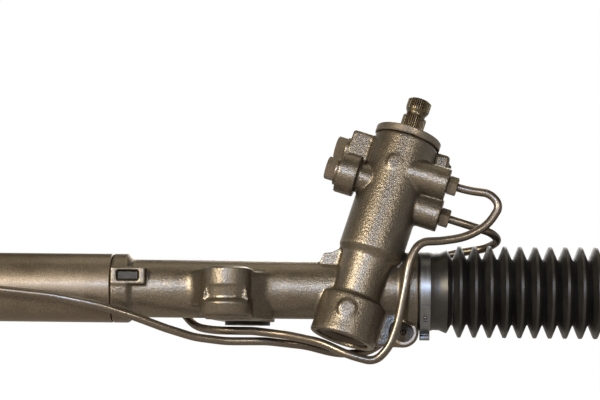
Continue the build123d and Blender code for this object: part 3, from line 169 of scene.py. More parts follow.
deselect_all()
bpy.ops.mesh.primitive_plane_add(size=24, location=(0, 0, floor_height))
floor = bpy.context.object
floor.name = "studio_floor"
paper, tree, paper_shader, _ = bare_material("studio_paper")
seen = tree.nodes.new("ShaderNodeLightPath").outputs
paper_colour = tree.nodes.new("ShaderNodeMix")
paper_colour.data_type = "RGBA"
paper_colour.inputs["A"].default_value = paper_glow
paper_colour.inputs["B"].default_value = paper_white
tree.links.new(seen["Is Camera Ray"], paper_colour.inputs["Factor"])
tree.links.new(paper_colour.outputs["Result"], paper_shader.inputs["Base Color"])
paper_shader.inputs["Roughness"].default_value = 0.9
paper_shader.inputs["Specular IOR Level"].default_value = 0.1
bright = tree.nodes.new("ShaderNodeEmission")
bright.inputs["Strength"].default_value = paper_brightness
in_metal = combined(tree, "MULTIPLY", seen["Is Glossy Ray"], paper_in_metal)
lens_or_metal = combined(tree, "MAXIMUM", seen["Is Camera Ray"], in_metal)
bright_share = combined(tree, "MULTIPLY", lens_or_metal, paper_seen)
shared_surface(tree, bright_share, paper_shader, bright, "Material Output")
floor.data.materials.append(paper)

world = bpy.data.worlds.new("studio_room")
bpy.context.scene.world = world
world.use_nodes = True
room = world.node_tree
room_light = room.nodes["Background"]
room_light.inputs["Strength"].default_value = room_strength
direction = room.nodes.new("ShaderNodeSeparateXYZ")
room.links.new(room.nodes.new("ShaderNodeTexCoord").outputs["Generated"], direction.inputs[0])
across, up = direction.outputs["Y"], direction.outputs["Z"]
room.links.new(two_tones(room, up, room_side, room_top, 0.1, 0.6), room_light.inputs["Color"])
backdrop = room.nodes.new("ShaderNodeBackground")
backdrop.inputs["Color"].default_value = (1, 1, 1, 1)
backdrop.inputs["Strength"].default_value = 1.0
rays = room.nodes.new("ShaderNodeLightPath").outputs
lens_or_glass = combined(room, "MAXIMUM", rays["Is Camera Ray"], rays["Is Transmission Ray"])
low_paper = range_of(room, up, 1.0, 0.0, 0.2, 0.55)
paper_behind = range_of(room, across, 0.3, 1.0, -0.3, 0.3)
paper_share = combined(room, "MULTIPLY", low_paper, paper_behind)
mirrored_paper = combined(room, "MULTIPLY", paper_share, rays["Is Glossy Ray"])
backdrop_share = combined(room, "MAXIMUM", lens_or_glass, mirrored_paper)
shared_surface(room, backdrop_share, room_light, backdrop, "World Output")

for lamp_name, lamp_place, lamp_size, lamp_power, lamp_colour in lamps:
    aim = (lamp_target - Vector(lamp_place)).to_track_quat("-Z", "Y").to_euler()
    bpy.ops.object.light_add(type="AREA", location=lamp_place, rotation=aim)
    lamp = bpy.context.object
    lamp.name = lamp_name
    lamp.data.size = lamp_size
    lamp.data.energy = lamp_power
    lamp.data.color = lamp_colour

bpy.ops.object.camera_add(
    location=camera_place, rotation=[radians(angle) for angle in camera_turn]
)
camera = bpy.context.object
camera.name = "studio_camera"
camera.data.sensor_width = camera_sensor
camera.data.lens = camera_lens
camera.data.clip_start = 0.02
bpy.context.scene.camera = camera
bpy.context.scene.view_settings.view_transform = "Standard"

# ---------------------------------------------------------------- pinion housing
# One aluminium casting with the rack tunnel, the leaning valve tower, the bolt boss, the rear eye and the
# lower lug. It is sand blasted and sprayed with a pewter paint that keeps the grain of the cast skin.

cast_skin_cell = 0.85 * MM
casting_triangles = 195000

# The tower leans along the rack and away behind it, and the pinion runs beside the rack's axis
rack_y = 27 * MM
pinion_x = 94.6 * MM
pinion_from_rack = 15.5 * MM
rake, lean = radians(17.3), radians(10.5)
tower_back = Vector((0, cos(lean), -sin(lean)))
tower_up = Vector((sin(rake), cos(rake) * sin(lean), cos(rake) * cos(lean)))
tower_side = Vector((cos(rake), -sin(rake) * sin(lean), -sin(rake) * cos(lean)))
pinion_foot = Vector((pinion_x, rack_y, 0)) - pinion_from_rack * tower_back
tower_turn = Matrix((tower_side, tower_back, tower_up)).transposed().to_euler()

# Bolt boss: machined band, and under it the pad, whose wing leaves the round foot at an angle
flat_top, pad_top, lip_low = 1.6 * MM, -8.5 * MM, -11.0 * MM
boss_front_y, boss_front_fade = -3 * MM, 6 * MM
boss_core, boss_reach = 12 * MM, 45 * MM
band_foot = pad_top + 0.3 * MM
lip_depth = 1.5 * MM
pad_draft, band_lean = 0.36, 0.2
wing_centre = Vector((10.7, 9.85, -15.3)) * MM
wing_size = Vector((29.0, 36.0, 12.8)) * MM
wing_turn = radians(-46.7)

# How far the skin's hollow corners are rounded
relax_step = 0.6
corner_rounds = 16
corner_turn = 0.12
corner_reach, corner_spread = 3, 1.6
soft_edge_rounds = 4
badge_room = Vector((9, 8, 9)) * MM


def noise_on(tree, place, scale, detail=3.0, roughness=0.55):
    """Noise pattern on the given coordinates"""
    noise = tree.nodes.new("ShaderNodeTexNoise")
    noise.inputs["Scale"].default_value = scale
    noise.inputs["Detail"].default_value = detail
    noise.inputs["Roughness"].default_value = roughness
    tree.links.new(place, noise.inputs["Vector"])
    return noise.outputs["Fac"]


def multiplied(tree, share, first, second):
    """First colour, multiplied by the second one by a share"""
    mix = tree.nodes.new("ShaderNodeMix")
    mix.data_type = "RGBA"
    mix.blend_type = "MULTIPLY"
    mix.inputs["Factor"].default_value = share
    tree.links.new(first, mix.inputs["A"])
    tree.links.new(second, mix.inputs["B"])
    return mix.outputs["Result"]


def bump_on(tree, shader, amount, strength, depth, below=None):
    """Bump from a pattern, on top of another bump"""
    bump = tree.nodes.new("ShaderNodeBump")
    bump.inputs["Strength"].default_value = strength
    bump.inputs["Distance"].default_value = depth
    tree.links.new(amount, bump.inputs["Height"])
    if below is not None:
        tree.links.new(below, bump.inputs["Normal"])
    tree.links.new(bump.outputs["Normal"], shader.inputs["Normal"])
    return bump.outputs["Normal"]


def pewter_paint(name, dark, light, grain, grain_depth, roughness, coat=0.5):
    """Metallic paint: fine flakes, slow changes of tone, and the grain of what lies under it"""
    tone_scale, flake_scale, wear_scale = 22.0, 1500.0, 90.0
    flake_dark, flake_light, flake_share = (0.5, 0.5, 0.5), (1.5, 1.45, 1.4), 0.6
    material, tree, shader, place = bare_material(name)
    tone = two_tones(tree, noise_on(tree, place, tone_scale, 4.0), dark, light, 0.3, 0.7)
    flakes = noise_on(tree, place, flake_scale, 1.0)
    flake_tone = two_tones(tree, flakes, flake_dark, flake_light, 0.42, 0.68)
    colour = multiplied(tree, flake_share, tone, flake_tone)
    tree.links.new(colour, shader.inputs["Base Color"])
    wear = noise_on(tree, place, wear_scale, 3.0)
    worn = range_of(tree, wear, roughness - 0.05, roughness + 0.07)
    tree.links.new(worn, shader.inputs["Roughness"])
    shader.inputs["Metallic"].default_value = 0.8
    shader.inputs["Specular Tint"].default_value = (0.42, 0.35, 0.24, 1)
    shader.inputs["Coat Weight"].default_value = coat
    shader.inputs["Coat Roughness"].default_value = 0.24
    skin = bump_on(tree, shader, noise_on(tree, place, grain, 4.0, 0.6), 0.8, grain_depth)
    tree.links.new(skin, shader.inputs["Coat Normal"])
    bump_on(tree, shader, flakes, 0.35, 0.06 * MM, skin)
    return material


def in_tower(side, back, up):
    """Place given along the tower's own directions, in millimetres"""
    return pinion_foot + (tower_side * side + tower_back * back + tower_up * up) * MM


def rounded_block(name, centre, size, edge, turned=(0, 0, 0)):
    """Block about its centre, turned, with its edges rounded"""
    deselect_all()
    bpy.ops.mesh.primitive_cube_add(size=1, location=centre, rotation=turned)
    block = bpy.context.object
    block.name = name
    block.scale = size
    bpy.ops.object.transform_apply(location=False, rotation=False, scale=True)
    edit_all()
    bpy.ops.mesh.bevel(offset=edge, segments=3)
    bpy.ops.object.mode_set(mode="OBJECT")
    settle()
    return block


def point_values(mesh, attribute):
    """Places or normals of a mesh's points, as rows"""
    values = np.zeros(len(mesh.vertices) * 3)
    mesh.vertices.foreach_get(attribute, values)
    return values.reshape(-1, 3)


def neighbour_average(mesh):
    """Function that averages values, one row for each point, over the point's neighbours"""
    count = len(mesh.vertices)
    edges = np.zeros(len(mesh.edges) * 2, np.int64)
    mesh.edges.foreach_get("vertices", edges)
    near, far = edges.reshape(-1, 2).T
    degree = np.bincount(near, minlength=count) + np.bincount(far, minlength=count)

    def average(values):
        total = np.zeros_like(values)
        for column in range(values.shape[1]):
            total[:, column] = np.bincount(near, values[far, column], count)
            total[:, column] += np.bincount(far, values[near, column], count)
        return total / degree[:, None]

    return average


def inside(points, box):
    """Which points lie in a box"""
    low, high = box
    return ((points > np.array(low)) & (points < np.array(high))).all(1)


def relax(points, average, share, rounds):
    """Moves points towards their neighbours, each by its share"""
    for _ in range(rounds):
        points += share * relax_step * (average(points) - points)


def round_hollow_corners(points, normals, average, kept_boxes):
    """Rounds the inside corners of the skin, as the radii of a casting, but not in the kept boxes"""
    hollow = ((average(points) - points) * normals).sum(1) / cast_skin_cell
    share = (hollow > corner_turn).astype(float)[:, None]
    for _ in range(corner_reach):
        share = np.maximum(share, average(share) * corner_spread).clip(0, 1)
    for box in kept_boxes:
        share[inside(points, box)] = 0
    relax(points, average, share, corner_rounds)


def soften_boxes(points, average, soft_boxes):
    """Softens all of the skin in some boxes, each by its own number of rounds"""
    for box, rounds in soft_boxes:
        share = inside(points, box).astype(float)[:, None]
        for _ in range(soft_edge_rounds):
            share = average(share)
        relax(points, average, share, rounds)


def shape_boss_front(points):
    """Gives the pad a bevelled lip and a draft below it, and leans back the machined band above it"""
    x, y, z = points.T
    front = ((boss_front_y - y) / boss_front_fade).clip(0, 1)
    front *= (np.hypot(x, y) > boss_core) * (x < boss_reach)
    lip = ((z - lip_low) / (pad_top - lip_low)).clip(0, 1) * (z < band_foot)
    draft = (lip_low - z).clip(0, 1) * pad_draft
    leaning = (flat_top - z).clip(0, flat_top - pad_top) * band_lean * (z > band_foot)
    points[:, 1] += front * (lip * lip_depth + draft + leaning)


cast_paint = pewter_paint(
    "cast_paint", (0.08, 0.067, 0.05), (0.12, 0.103, 0.079), 620.0, 0.4 * MM, 0.38
)

deselect_all()
casting = bpy.data.objects.new("casting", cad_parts["pinion_housing"].data.copy())
bpy.context.scene.collection.objects.link(casting)
bpy.context.view_layer.objects.active = casting
casting.select_set(True)
casting.data.materials.clear()
edit_all()
bpy.ops.mesh.remove_doubles(threshold=same_place)
bpy.ops.object.mode_set(mode="OBJECT")

# The rear hose port and the stub behind the tower are square blocks, cast in one with it
port_size = Vector((18.2, 25.6, 26.6)) * MM
stub_size = Vector((18.5, 15.0, 18.0)) * MM
blocks = [
    rounded_block("port_block", in_tower(-30.6, 13.2, 98.2), port_size, 1.6 * MM, tower_turn),
    rounded_block("stub_block", in_tower(24.4, 11.0, 105.2), stub_size, 2.6 * MM, tower_turn),
    rounded_block("pad_wing", wing_centre, wing_size, 1.2 * MM, (0, 0, wing_turn)),
]
for block in blocks:
    block.select_set(True)
casting.select_set(True)
bpy.context.view_layer.objects.active = casting
bpy.ops.object.join()

modify(casting, "cast_skin", "REMESH", mode="VOXEL", voxel_size=cast_skin_cell)

# The webs beside the boss and the two round pads are soft all over, and the window and the lug stay sharp
window_box = ((-0.0845, -0.002, -0.001), (-0.056, 0.02, 0.0165))
lug_box = ((0.1145, 0.011, -0.0425), (0.1385, 0.034, -0.0175))
left_web = ((-0.037, -0.004, -0.0075), (-0.0195, 0.026, 0.016))
right_web = ((0.0195, -0.004, -0.0075), (0.042, 0.026, 0.016))
upper_pad, lower_pad = (
    (middle - badge_room, middle + badge_room)
    for middle in (in_tower(-2.4, -22, 89.5), in_tower(-2, -24, -23))
)
points = point_values(casting.data, "co")
average = neighbour_average(casting.data)
round_hollow_corners(
    points,
    point_values(casting.data, "normal"),
    average,
    kept_boxes=(window_box, lug_box, upper_pad, lower_pad),
)
soften_boxes(points, average, ((left_web, 60), (right_web, 60), (upper_pad, 5), (lower_pad, 7)))
shape_boss_front(points)
casting.data.vertices.foreach_set("co", points.ravel())
casting.data.update()
modify(casting, "worn_edges", "SMOOTH", factor=0.5, iterations=2)
kept_share = min(1.0, casting_triangles / (2 * len(casting.data.polygons)))
modify(casting, "fewer_triangles", "DECIMATE", ratio=kept_share)
bpy.ops.object.shade_smooth()
casting.data.materials.append(cast_paint)
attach(casting, "housing")
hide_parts("pinion_housing")

# ---------------------------------------------------------------- machined spots
# The lug has a faced ring round its drilled hole, and the window at the collar shows the dark steel shoe
# behind it. Both are cut after casting, so they are bare or only thinly painted.

lug_x, lug_z = 126.4 * MM, -29.8 * MM
shoe_centre = Vector((-71.4, 4.6, 8.5)) * MM
shoe_size = Vector((15.7, 3.0, 6.7)) * MM
shoe_rim, shoe_hollow, shoe_edge = 0.5 * MM, 0.7 * MM, 0.15 * MM

# Outlines in millimetres, as (distance behind the bolt's axis, radius)
ring_outline = (
    (15.0, 7.05),
    (12.7, 7.05),
    (12.35, 7.4),
    (12.35, 8.9),
    (12.65, 9.25),
    (15.0, 9.25),
    (15.0, 7.05),
)
bore_outline = (
    (13.2, 7.0),
    (13.2, 6.9),
    (26.0, 6.9),
    (26.0, 2.2),
    (27.2, 1.4),
    (27.2, 0.9),
    (26.4, 0.4),
    (26.4, 0.02),
    (29.8, 0.02),
    (29.8, 7.0),
    (13.2, 7.0),
)

shoe_steel = pewter_paint(
    "shoe_steel",
    (0.022, 0.021, 0.021),
    (0.036, 0.035, 0.035),
    200.0,
    0.04 * MM,
    0.55,
    coat=0.05,
)
faced_metal = pewter_paint(
    "faced_metal", (0.2, 0.175, 0.15), (0.27, 0.24, 0.21), 900.0, 0.04 * MM, 0.4
)
# Near-black paint inside the drilled lug bore and on the cap deep in the cup: painted shade of these
# recesses, not oil.
painted_bore_shade = pewter_paint(
    "painted_bore_shade", (0.028, 0.022, 0.016), (0.05, 0.04, 0.03), 300.0, 0.04 * MM, 0.5
)


def turned(name, profile, axis, centre, segments=96, closed=True, capped=False):
    """Turns (distance, radius) stations about a line along X or Y, ring by ring"""
    along = Vector((1, 0, 0)) if axis == "X" else Vector((0, 1, 0))
    tilt = (0, pi / 2, 0) if axis == "X" else (pi / 2, 0, 0)
    deselect_all()
    distance, radius = profile[0]
    bpy.ops.mesh.primitive_circle_add(
        vertices=segments, radius=radius, location=centre + along * distance, rotation=tilt
    )
    piece = bpy.context.object
    piece.name = name
    settle()
    edit_all()
    for next_distance, next_radius in profile[1:]:
        step = along * (next_distance - distance)
        bpy.ops.mesh.extrude_edges_move(TRANSFORM_OT_translate={"value": tuple(step)})
        growth = next_radius / radius
        bpy.ops.transform.resize(
            value=[1 if part else growth for part in along[:2]] + [growth],
            center_override=centre + along * next_distance,
        )
        distance, radius = next_distance, next_radius
    bpy.ops.mesh.select_all(action="SELECT")
    bpy.ops.mesh.remove_doubles(threshold=2 * same_place)
    if capped:
        bpy.ops.mesh.fill_holes(sides=0)
    if closed:
        bpy.ops.mesh.normals_make_consistent(inside=False)
    bpy.ops.object.mode_set(mode="OBJECT")
    return piece


# The lug bore gets the near-black paint, as painted shade inside the drilled hole.
lug_pieces = (
    ("lug_ring", ring_outline, faced_metal),
    ("lug_bore", bore_outline, painted_bore_shade),
)
for name, outline, material in lug_pieces:
    profile = [(y * MM, radius * MM) for y, radius in outline]
    piece = turned(name, profile, "Y", Vector((lug_x, 0, lug_z)))
    bpy.ops.object.shade_smooth_by_angle(angle=radians(30))
    piece.data.materials.append(material)
    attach(piece, "housing")

deselect_all()
bpy.ops.mesh.primitive_cube_add(size=1, location=shoe_centre)
shoe = bpy.context.object
shoe.name = "window_shoe"
edit_all()
bpy.ops.transform.resize(value=shoe_size, center_override=shoe_centre)
bpy.ops.object.mode_set(mode="OBJECT")
settle()
for face in shoe.data.polygons:
    face.select = face.normal.y < -0.5
bpy.ops.object.mode_set(mode="EDIT")
bpy.ops.mesh.select_mode(type="FACE")
bpy.ops.mesh.inset(thickness=shoe_rim, depth=-shoe_hollow)
bpy.ops.mesh.select_mode(type="VERT")
bpy.ops.mesh.select_all(action="SELECT")
bpy.ops.mesh.bevel(offset=shoe_edge, segments=2)
bpy.ops.object.mode_set(mode="OBJECT")
shoe.data.materials.append(shoe_steel)
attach(shoe, "housing")

# ---------------------------------------------------------------- cylinder tube
# Drawn steel tube with its two welded ports and the bracket with the third bolt eye, sprayed with the same
# paint. The steel is smooth, so the paint lies flatter here than on the casting.

tube_coat = pewter_paint(
    "tube_coat", (0.09, 0.073, 0.054), (0.127, 0.105, 0.08), 160.0, 0.06 * MM, 0.43
)


def finish(material, *names):
    """Gives solids of the frame their finish"""
    for name in names:
        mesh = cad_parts[name].data
        mesh.materials.clear()
        mesh.materials.append(material)


finish(tube_coat, "cylinder_tube", "tube_port_left", "tube_port_right", "left_bracket")

# ---------------------------------------------------------------- pipes, plugs and cover
# Steel feed pipes with their nuts, the plugs that close the hose ports until the rack is fitted, the
# adjusting plug of the rack guide and the tower's ring cover, all sprayed with the rack over smoother metal.

washer_height, washer_edge = 2.4 * MM, 0.35 * MM
washers = (
    ("front_port_washer", in_tower(-40.6, -8.0, 75.0), 10.6 * MM),
    ("rear_port_washer", in_tower(-40.9, 14.0, 98.0), 9.6 * MM),
)

pipe_coat = pewter_paint(
    "pipe_coat", (0.075, 0.062, 0.048), (0.115, 0.097, 0.077), 300.0, 0.04 * MM, 0.33
)
plug_coat = pewter_paint(
    "plug_coat", (0.085, 0.069, 0.051), (0.125, 0.104, 0.079), 420.0, 0.08 * MM, 0.42
)
cover_coat = pewter_paint(
    "cover_coat", (0.12, 0.101, 0.079), (0.168, 0.145, 0.118), 420.0, 0.12 * MM, 0.44
)
finish(pipe_coat, "front_pipe", "rear_pipe")
finish(plug_coat, "pipe_nuts", "front_port_plug", "rear_port_plug", "yoke_plug", "yoke_locknut")
finish(cover_coat, "valve_cover")

# A sealing washer under each of the two plugs on the left
along_side = Matrix((-tower_up, tower_back, tower_side)).transposed().to_euler()
for name, place, radius in washers:
    deselect_all()
    bpy.ops.mesh.primitive_cylinder_add(
        vertices=72, radius=radius, depth=washer_height, location=place, rotation=along_side
    )
    washer = bpy.context.object
    washer.name = name
    edit_all()
    bpy.ops.mesh.bevel(offset=washer_edge, segments=2)
    bpy.ops.object.mode_set(mode="OBJECT")
    settle()
    bpy.ops.object.shade_smooth_by_angle(angle=radians(30))
    washer.data.materials.append(plug_coat)
    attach(washer, "housing")

# ---------------------------------------------------------------- steel pieces
# Turned and ground steel of the rack bar, the pinion, the valve and the bearings, left bare and oiled. The
# input shaft and the jam nuts are darker, and the cap in the cup is painted near black as shade in its
# recess.

def turned_steel(name, dark, light, roughness, turning):
    """Bare steel with fine turning marks across X and a little oil"""
    material, tree, shader, place = bare_material(name)
    stretch = tree.nodes.new("ShaderNodeMapping")
    stretch.inputs["Scale"].default_value = (1.0, 0.04, 0.04)
    tree.links.new(place, stretch.inputs["Vector"])
    marks = noise_on(tree, stretch.outputs["Vector"], turning, 3.0)
    cloudy = noise_on(tree, place, 60.0, 4.0)
    tree.links.new(two_tones(tree, cloudy, dark, light), shader.inputs["Base Color"])
    marked = range_of(tree, marks, roughness - 0.06, roughness + 0.08)
    tree.links.new(marked, shader.inputs["Roughness"])
    shader.inputs["Metallic"].default_value = 1.0
    bump_on(tree, shader, marks, 0.25, 0.02 * MM)
    return material


bare_steel = turned_steel("bare_steel", (0.42, 0.4, 0.37), (0.52, 0.5, 0.47), 0.28, 1400.0)
shaft_steel = turned_steel(
    "shaft_steel", (0.08, 0.064, 0.042), (0.135, 0.11, 0.074), 0.34, 900.0
)
dark_steel = turned_steel("dark_steel", (0.16, 0.145, 0.12), (0.24, 0.215, 0.18), 0.38, 700.0)
finish(
    bare_steel,
    "rack_bar",
    "piston",
    "pinion_gear",
    "valve_sleeve",
    "torsion_bar",
    "sleeve_pin",
    "torsion_bar_pin",
    "bearing_outer_ring",
    "bearing_inner_ring",
    "bearing_balls",
    "bearing_nut",
    "rack_guide",
    "yoke_spring",
    "end_gland",
    "gland_ring",
    "left_socket",
    "right_socket",
    "right_bush_sleeve",
    "left_bush_sleeve",
    "upper_bearing",
)
finish(dark_steel, "left_jam_nut", "right_jam_nut")
# The cap deep in the cup gets the near-black paint, as painted shade of its recess.
finish(painted_bore_shade, "bottom_plug")
finish(shaft_steel, "input_shaft")

# ---------------------------------------------------------------- rubber and plastic
# Moulded rubber of the bushes, seals and bellows, and the white plastic of the ball seats, the sealing rings
# and the plain bushes. Both have a satin skin that keeps the mark of the mould.

def moulded_rubber(name, dark, light, roughness):
    """Black rubber with a satin bloom and a fine moulded skin"""
    material, tree, shader, place = bare_material(name)
    cloudy = noise_on(tree, place, 45.0, 4.0)
    tree.links.new(two_tones(tree, cloudy, dark, light), shader.inputs["Base Color"])
    bloom = noise_on(tree, place, 160.0, 3.0)
    satin = range_of(tree, bloom, roughness - 0.05, roughness + 0.06)
    tree.links.new(satin, shader.inputs["Roughness"])
    shader.inputs["Specular IOR Level"].default_value = 0.35
    bump_on(tree, shader, noise_on(tree, place, 1500.0, 2.0), 0.25, 0.04 * MM)
    return material


boot_rubber = moulded_rubber(
    "boot_rubber", (0.004, 0.0036, 0.0032), (0.009, 0.008, 0.007), 0.42
)
bush_rubber = moulded_rubber("bush_rubber", (0.012, 0.012, 0.012), (0.022, 0.022, 0.021), 0.6)
white_plastic = moulded_rubber("white_plastic", (0.55, 0.53, 0.48), (0.62, 0.6, 0.55), 0.45)
finish(
    bush_rubber,
    "right_bush_rubber",
    "left_bush_rubber",
    "inner_rack_seal",
    "outer_rack_seal",
    "pinion_seal",
    "input_shaft_seal",
)
finish(
    white_plastic,
    "rack_bush",
    "piston_ring",
    "sleeve_rings",
    "pinion_bush",
    "left_ball_seat",
    "right_ball_seat",
)

# ---------------------------------------------------------------- bellows
# Black rubber boots from the housing to the tie rods, each moulded with a cuff, fifteen folds and a short
# neck. A boot is built in three lengths: the folds over the rack end, those round the ball joint, and the
# neck.

boot_segments = 96
fold_pitch = 10.9 * MM
fold_count = 15
crest_radius = 33.15 * MM
valley_radius = 23.6 * MM
boot_wall = 1.5 * MM
first_crest = 29.6 * MM
cuff_wall = 1.9 * MM
neck_radius = 10.0 * MM
ball_clear, ball_bend, ball_neck, rod_only = 38 * MM, 112 * MM, 136 * MM, 145 * MM
# Side, its direction, the lip's place, the cuff's inner radius and the ball's centre
boots = (
    ("left", -1, -325.0 * MM, 25.05 * MM, -410.5 * MM),
    ("right", 1, 137.0 * MM, 26.45 * MM, 215.5 * MM),
)


def turn_about_rack(name, profile, segments, closed=True, capped=False):
    """Turns (x, radius) stations about the rack axis"""
    return turned(name, profile, "X", Vector((0, rack_y, 0)), segments, closed, capped)


def pick_points(piece, wanted):
    """Selects the points of a piece whose place is wanted, and goes to edit mode"""
    deselect_all()
    bpy.context.view_layer.objects.active = piece
    piece.select_set(True)
    bpy.ops.object.mode_set(mode="EDIT")
    bpy.ops.mesh.select_mode(type="VERT")
    bpy.ops.mesh.select_all(action="DESELECT")
    bpy.ops.object.mode_set(mode="OBJECT")
    for vertex in piece.data.vertices:
        vertex.select = wanted(vertex.co)
    bpy.ops.object.mode_set(mode="EDIT")


def boot_profile(length, cuff_radius):
    """Outside of a boot as (distance from its lip, radius) stations, with rounded crests and valleys"""
    stations = [
        (0.0, cuff_radius + cuff_wall - 0.5 * MM),
        (0.5 * MM, cuff_radius + cuff_wall),
        (9.6 * MM, cuff_radius + cuff_wall),
        (10.4 * MM, cuff_radius + cuff_wall - 0.5 * MM),
        (15.0 * MM, cuff_radius + cuff_wall - 0.4 * MM),
        (19.4 * MM, crest_radius - 3.3 * MM),
        (20.4 * MM, crest_radius - 3.0 * MM),
        (21.2 * MM, crest_radius - 4.0 * MM),
        (23.6 * MM, valley_radius + 0.8 * MM),
        (24.2 * MM, valley_radius + 0.6 * MM),
        (24.9 * MM, valley_radius + 1.0 * MM),
    ]
    for number in range(fold_count):
        middle = first_crest + number * fold_pitch
        stations += [
            (middle - 1.3 * MM, crest_radius - 0.7 * MM),
            (middle - 0.9 * MM, crest_radius - 0.08 * MM),
            (middle, crest_radius),
            (middle + 0.9 * MM, crest_radius - 0.08 * MM),
            (middle + 1.3 * MM, crest_radius - 0.7 * MM),
            (middle + fold_pitch / 2 - 0.7 * MM, valley_radius + 0.7 * MM),
            (middle + fold_pitch / 2, valley_radius),
            (middle + fold_pitch / 2 + 0.7 * MM, valley_radius + 0.7 * MM),
        ]
    last = first_crest + fold_count * fold_pitch
    stations = stations[:-2] + [
        (last - fold_pitch / 2 + 0.6 * MM, valley_radius + 0.2 * MM),
        (last + 0.6 * MM, crest_radius - 7.5 * MM),
        (last + 2.0 * MM, crest_radius - 8.2 * MM),
        (last + 6.5 * MM, valley_radius - 6.5 * MM),
        (length - 12.0 * MM, neck_radius + 3.0 * MM),
        (length - 10.0 * MM, neck_radius),
        (length - 0.5 * MM, neck_radius),
        (length, neck_radius - 0.5 * MM),
    ]
    return stations


def boot_length(name, stations, side, lip_x, low, high):
    """One length of a boot, between two distances from its lip, with its wall"""
    between = [s for s in stations if low < s[0] < high]
    distances = [s[0] for s in stations]
    radii = [s[1] for s in stations]
    ends = [(d, float(np.interp(d, distances, radii))) for d in (low, high)]
    run = [ends[0], *between, ends[1]]
    profile = [(lip_x + side * d, r) for d, r in run]
    piece = turn_about_rack(name, profile, boot_segments, closed=False)
    edit_all()
    if side < 0:
        bpy.ops.mesh.flip_normals()
    bpy.ops.object.mode_set(mode="OBJECT")
    modify(piece, "boot_wall", "SOLIDIFY", thickness=boot_wall, offset=-1)
    bpy.ops.object.shade_smooth_by_angle(angle=radians(50))
    piece.data.materials.append(boot_rubber)
    return piece


for side_name, side, lip_x, cuff_radius, ball_x in boots:
    reach_to_ball = abs(ball_x - lip_x)
    length = reach_to_ball + rod_only
    stations = boot_profile(length, cuff_radius)
    over_rack = boot_length(
        side_name + "_boot_folds", stations, side, lip_x, 0.0, reach_to_ball + ball_clear
    )
    round_ball = boot_length(
        side_name + "_boot_end_folds",
        stations,
        side,
        lip_x,
        reach_to_ball + ball_clear,
        reach_to_ball + ball_bend,
    )
    on_rod = boot_length(
        side_name + "_boot_neck", stations, side, lip_x, reach_to_ball + ball_bend, length
    )
    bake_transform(over_rack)
    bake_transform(round_ball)
    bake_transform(on_rod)
    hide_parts(side_name + "_bellows")

# ---------------------------------------------------------------- clamps
# Stainless ear clamps hold the cuffs: a band, a second layer of strap with its hook slots, and a crimped ear.
# Spring clips with two tangs hold the necks on the rods.

clamp_steel = turned_steel("clamp_steel", (0.13, 0.133, 0.14), (0.19, 0.195, 0.205), 0.34, 500.0)


def round_rack(radius, below):
    """Place on a circle round the rack, at an angle below the front"""
    turn = pi + radians(below)
    return rack_y + radius * cos(turn), radius * sin(turn)


def bent_strap(name, path, low_x, high_x, thickness, slots=()):
    """Strip of band steel bent along (y, z) points, with a slot between each given pair of them"""
    deselect_all()
    y, z = path[0]
    width = high_x - low_x
    bpy.ops.mesh.primitive_plane_add(size=width, location=((low_x + high_x) / 2, y, z))
    piece = bpy.context.object
    piece.name = name
    settle()
    pick_points(piece, lambda place: place.y > y)
    bpy.ops.mesh.delete(type="VERT")
    bpy.ops.mesh.select_all(action="SELECT")
    bpy.ops.transform.translate(value=(0, width / 2, 0))
    bpy.ops.mesh.subdivide(number_cuts=2)
    for next_y, next_z in path[1:]:
        bpy.ops.mesh.extrude_edges_move(
            TRANSFORM_OT_translate={"value": (0, next_y - y, next_z - z)}
        )
        y, z = next_y, next_z
    bpy.ops.mesh.select_mode(type="FACE")
    bpy.ops.mesh.select_all(action="DESELECT")
    bpy.ops.object.mode_set(mode="OBJECT")
    middle_x = (low_x + high_x) / 2
    for first, last in slots:
        first_z, last_z = path[first][1], path[last][1]
        for face in piece.data.polygons:
            x, face_y, face_z = face.center
            between = min(first_z, last_z) < face_z < max(first_z, last_z)
            if between and face_y < rack_y and abs(x - middle_x) < width / 6:
                face.select = True
    bpy.ops.object.mode_set(mode="EDIT")
    bpy.ops.mesh.delete(type="FACE")
    bpy.ops.mesh.select_mode(type="VERT")
    bpy.ops.object.mode_set(mode="OBJECT")
    modify(piece, "strap_thickness", "SOLIDIFY", thickness=thickness, offset=0)
    modify(
        piece,
        "rolled_edges",
        "BEVEL",
        width=thickness / 5,
        segments=2,
        limit_method="ANGLE",
        angle_limit=radians(60),
    )
    edit_all()
    bpy.ops.mesh.normals_make_consistent(inside=False)
    bpy.ops.object.mode_set(mode="OBJECT")
    bpy.ops.object.shade_smooth_by_angle(angle=radians(35))
    return piece


def crimped_ear(radius, middle, height, base):
    """Points of an ear folded out of a strap and pinched, from its front foot to its rear foot"""
    turn = pi + radians(middle)
    half = (
        (0.16, 1.0),
        (0.29, 0.86),
        (0.3, 0.64),
        (0.2, 0.44),
        (0.22, 0.26),
        (0.34, 0.08),
        (0.5, 0.0),
    )
    points = []
    for along, out in [(-along, out) for along, out in half[::-1]] + list(half):
        reach = radius + height * out
        sideways = base * along
        points.append(
            (
                rack_y + reach * cos(turn) - sideways * sin(turn),
                reach * sin(turn) + sideways * cos(turn),
            )
        )
    return points


def joined(name, pieces, material):
    """One piece of several"""
    deselect_all()
    for piece in pieces:
        piece.select_set(True)
    bpy.context.view_layer.objects.active = pieces[0]
    bpy.ops.object.join()
    whole = bpy.context.object
    whole.name = name
    whole.data.materials.clear()
    whole.data.materials.append(material)
    return whole


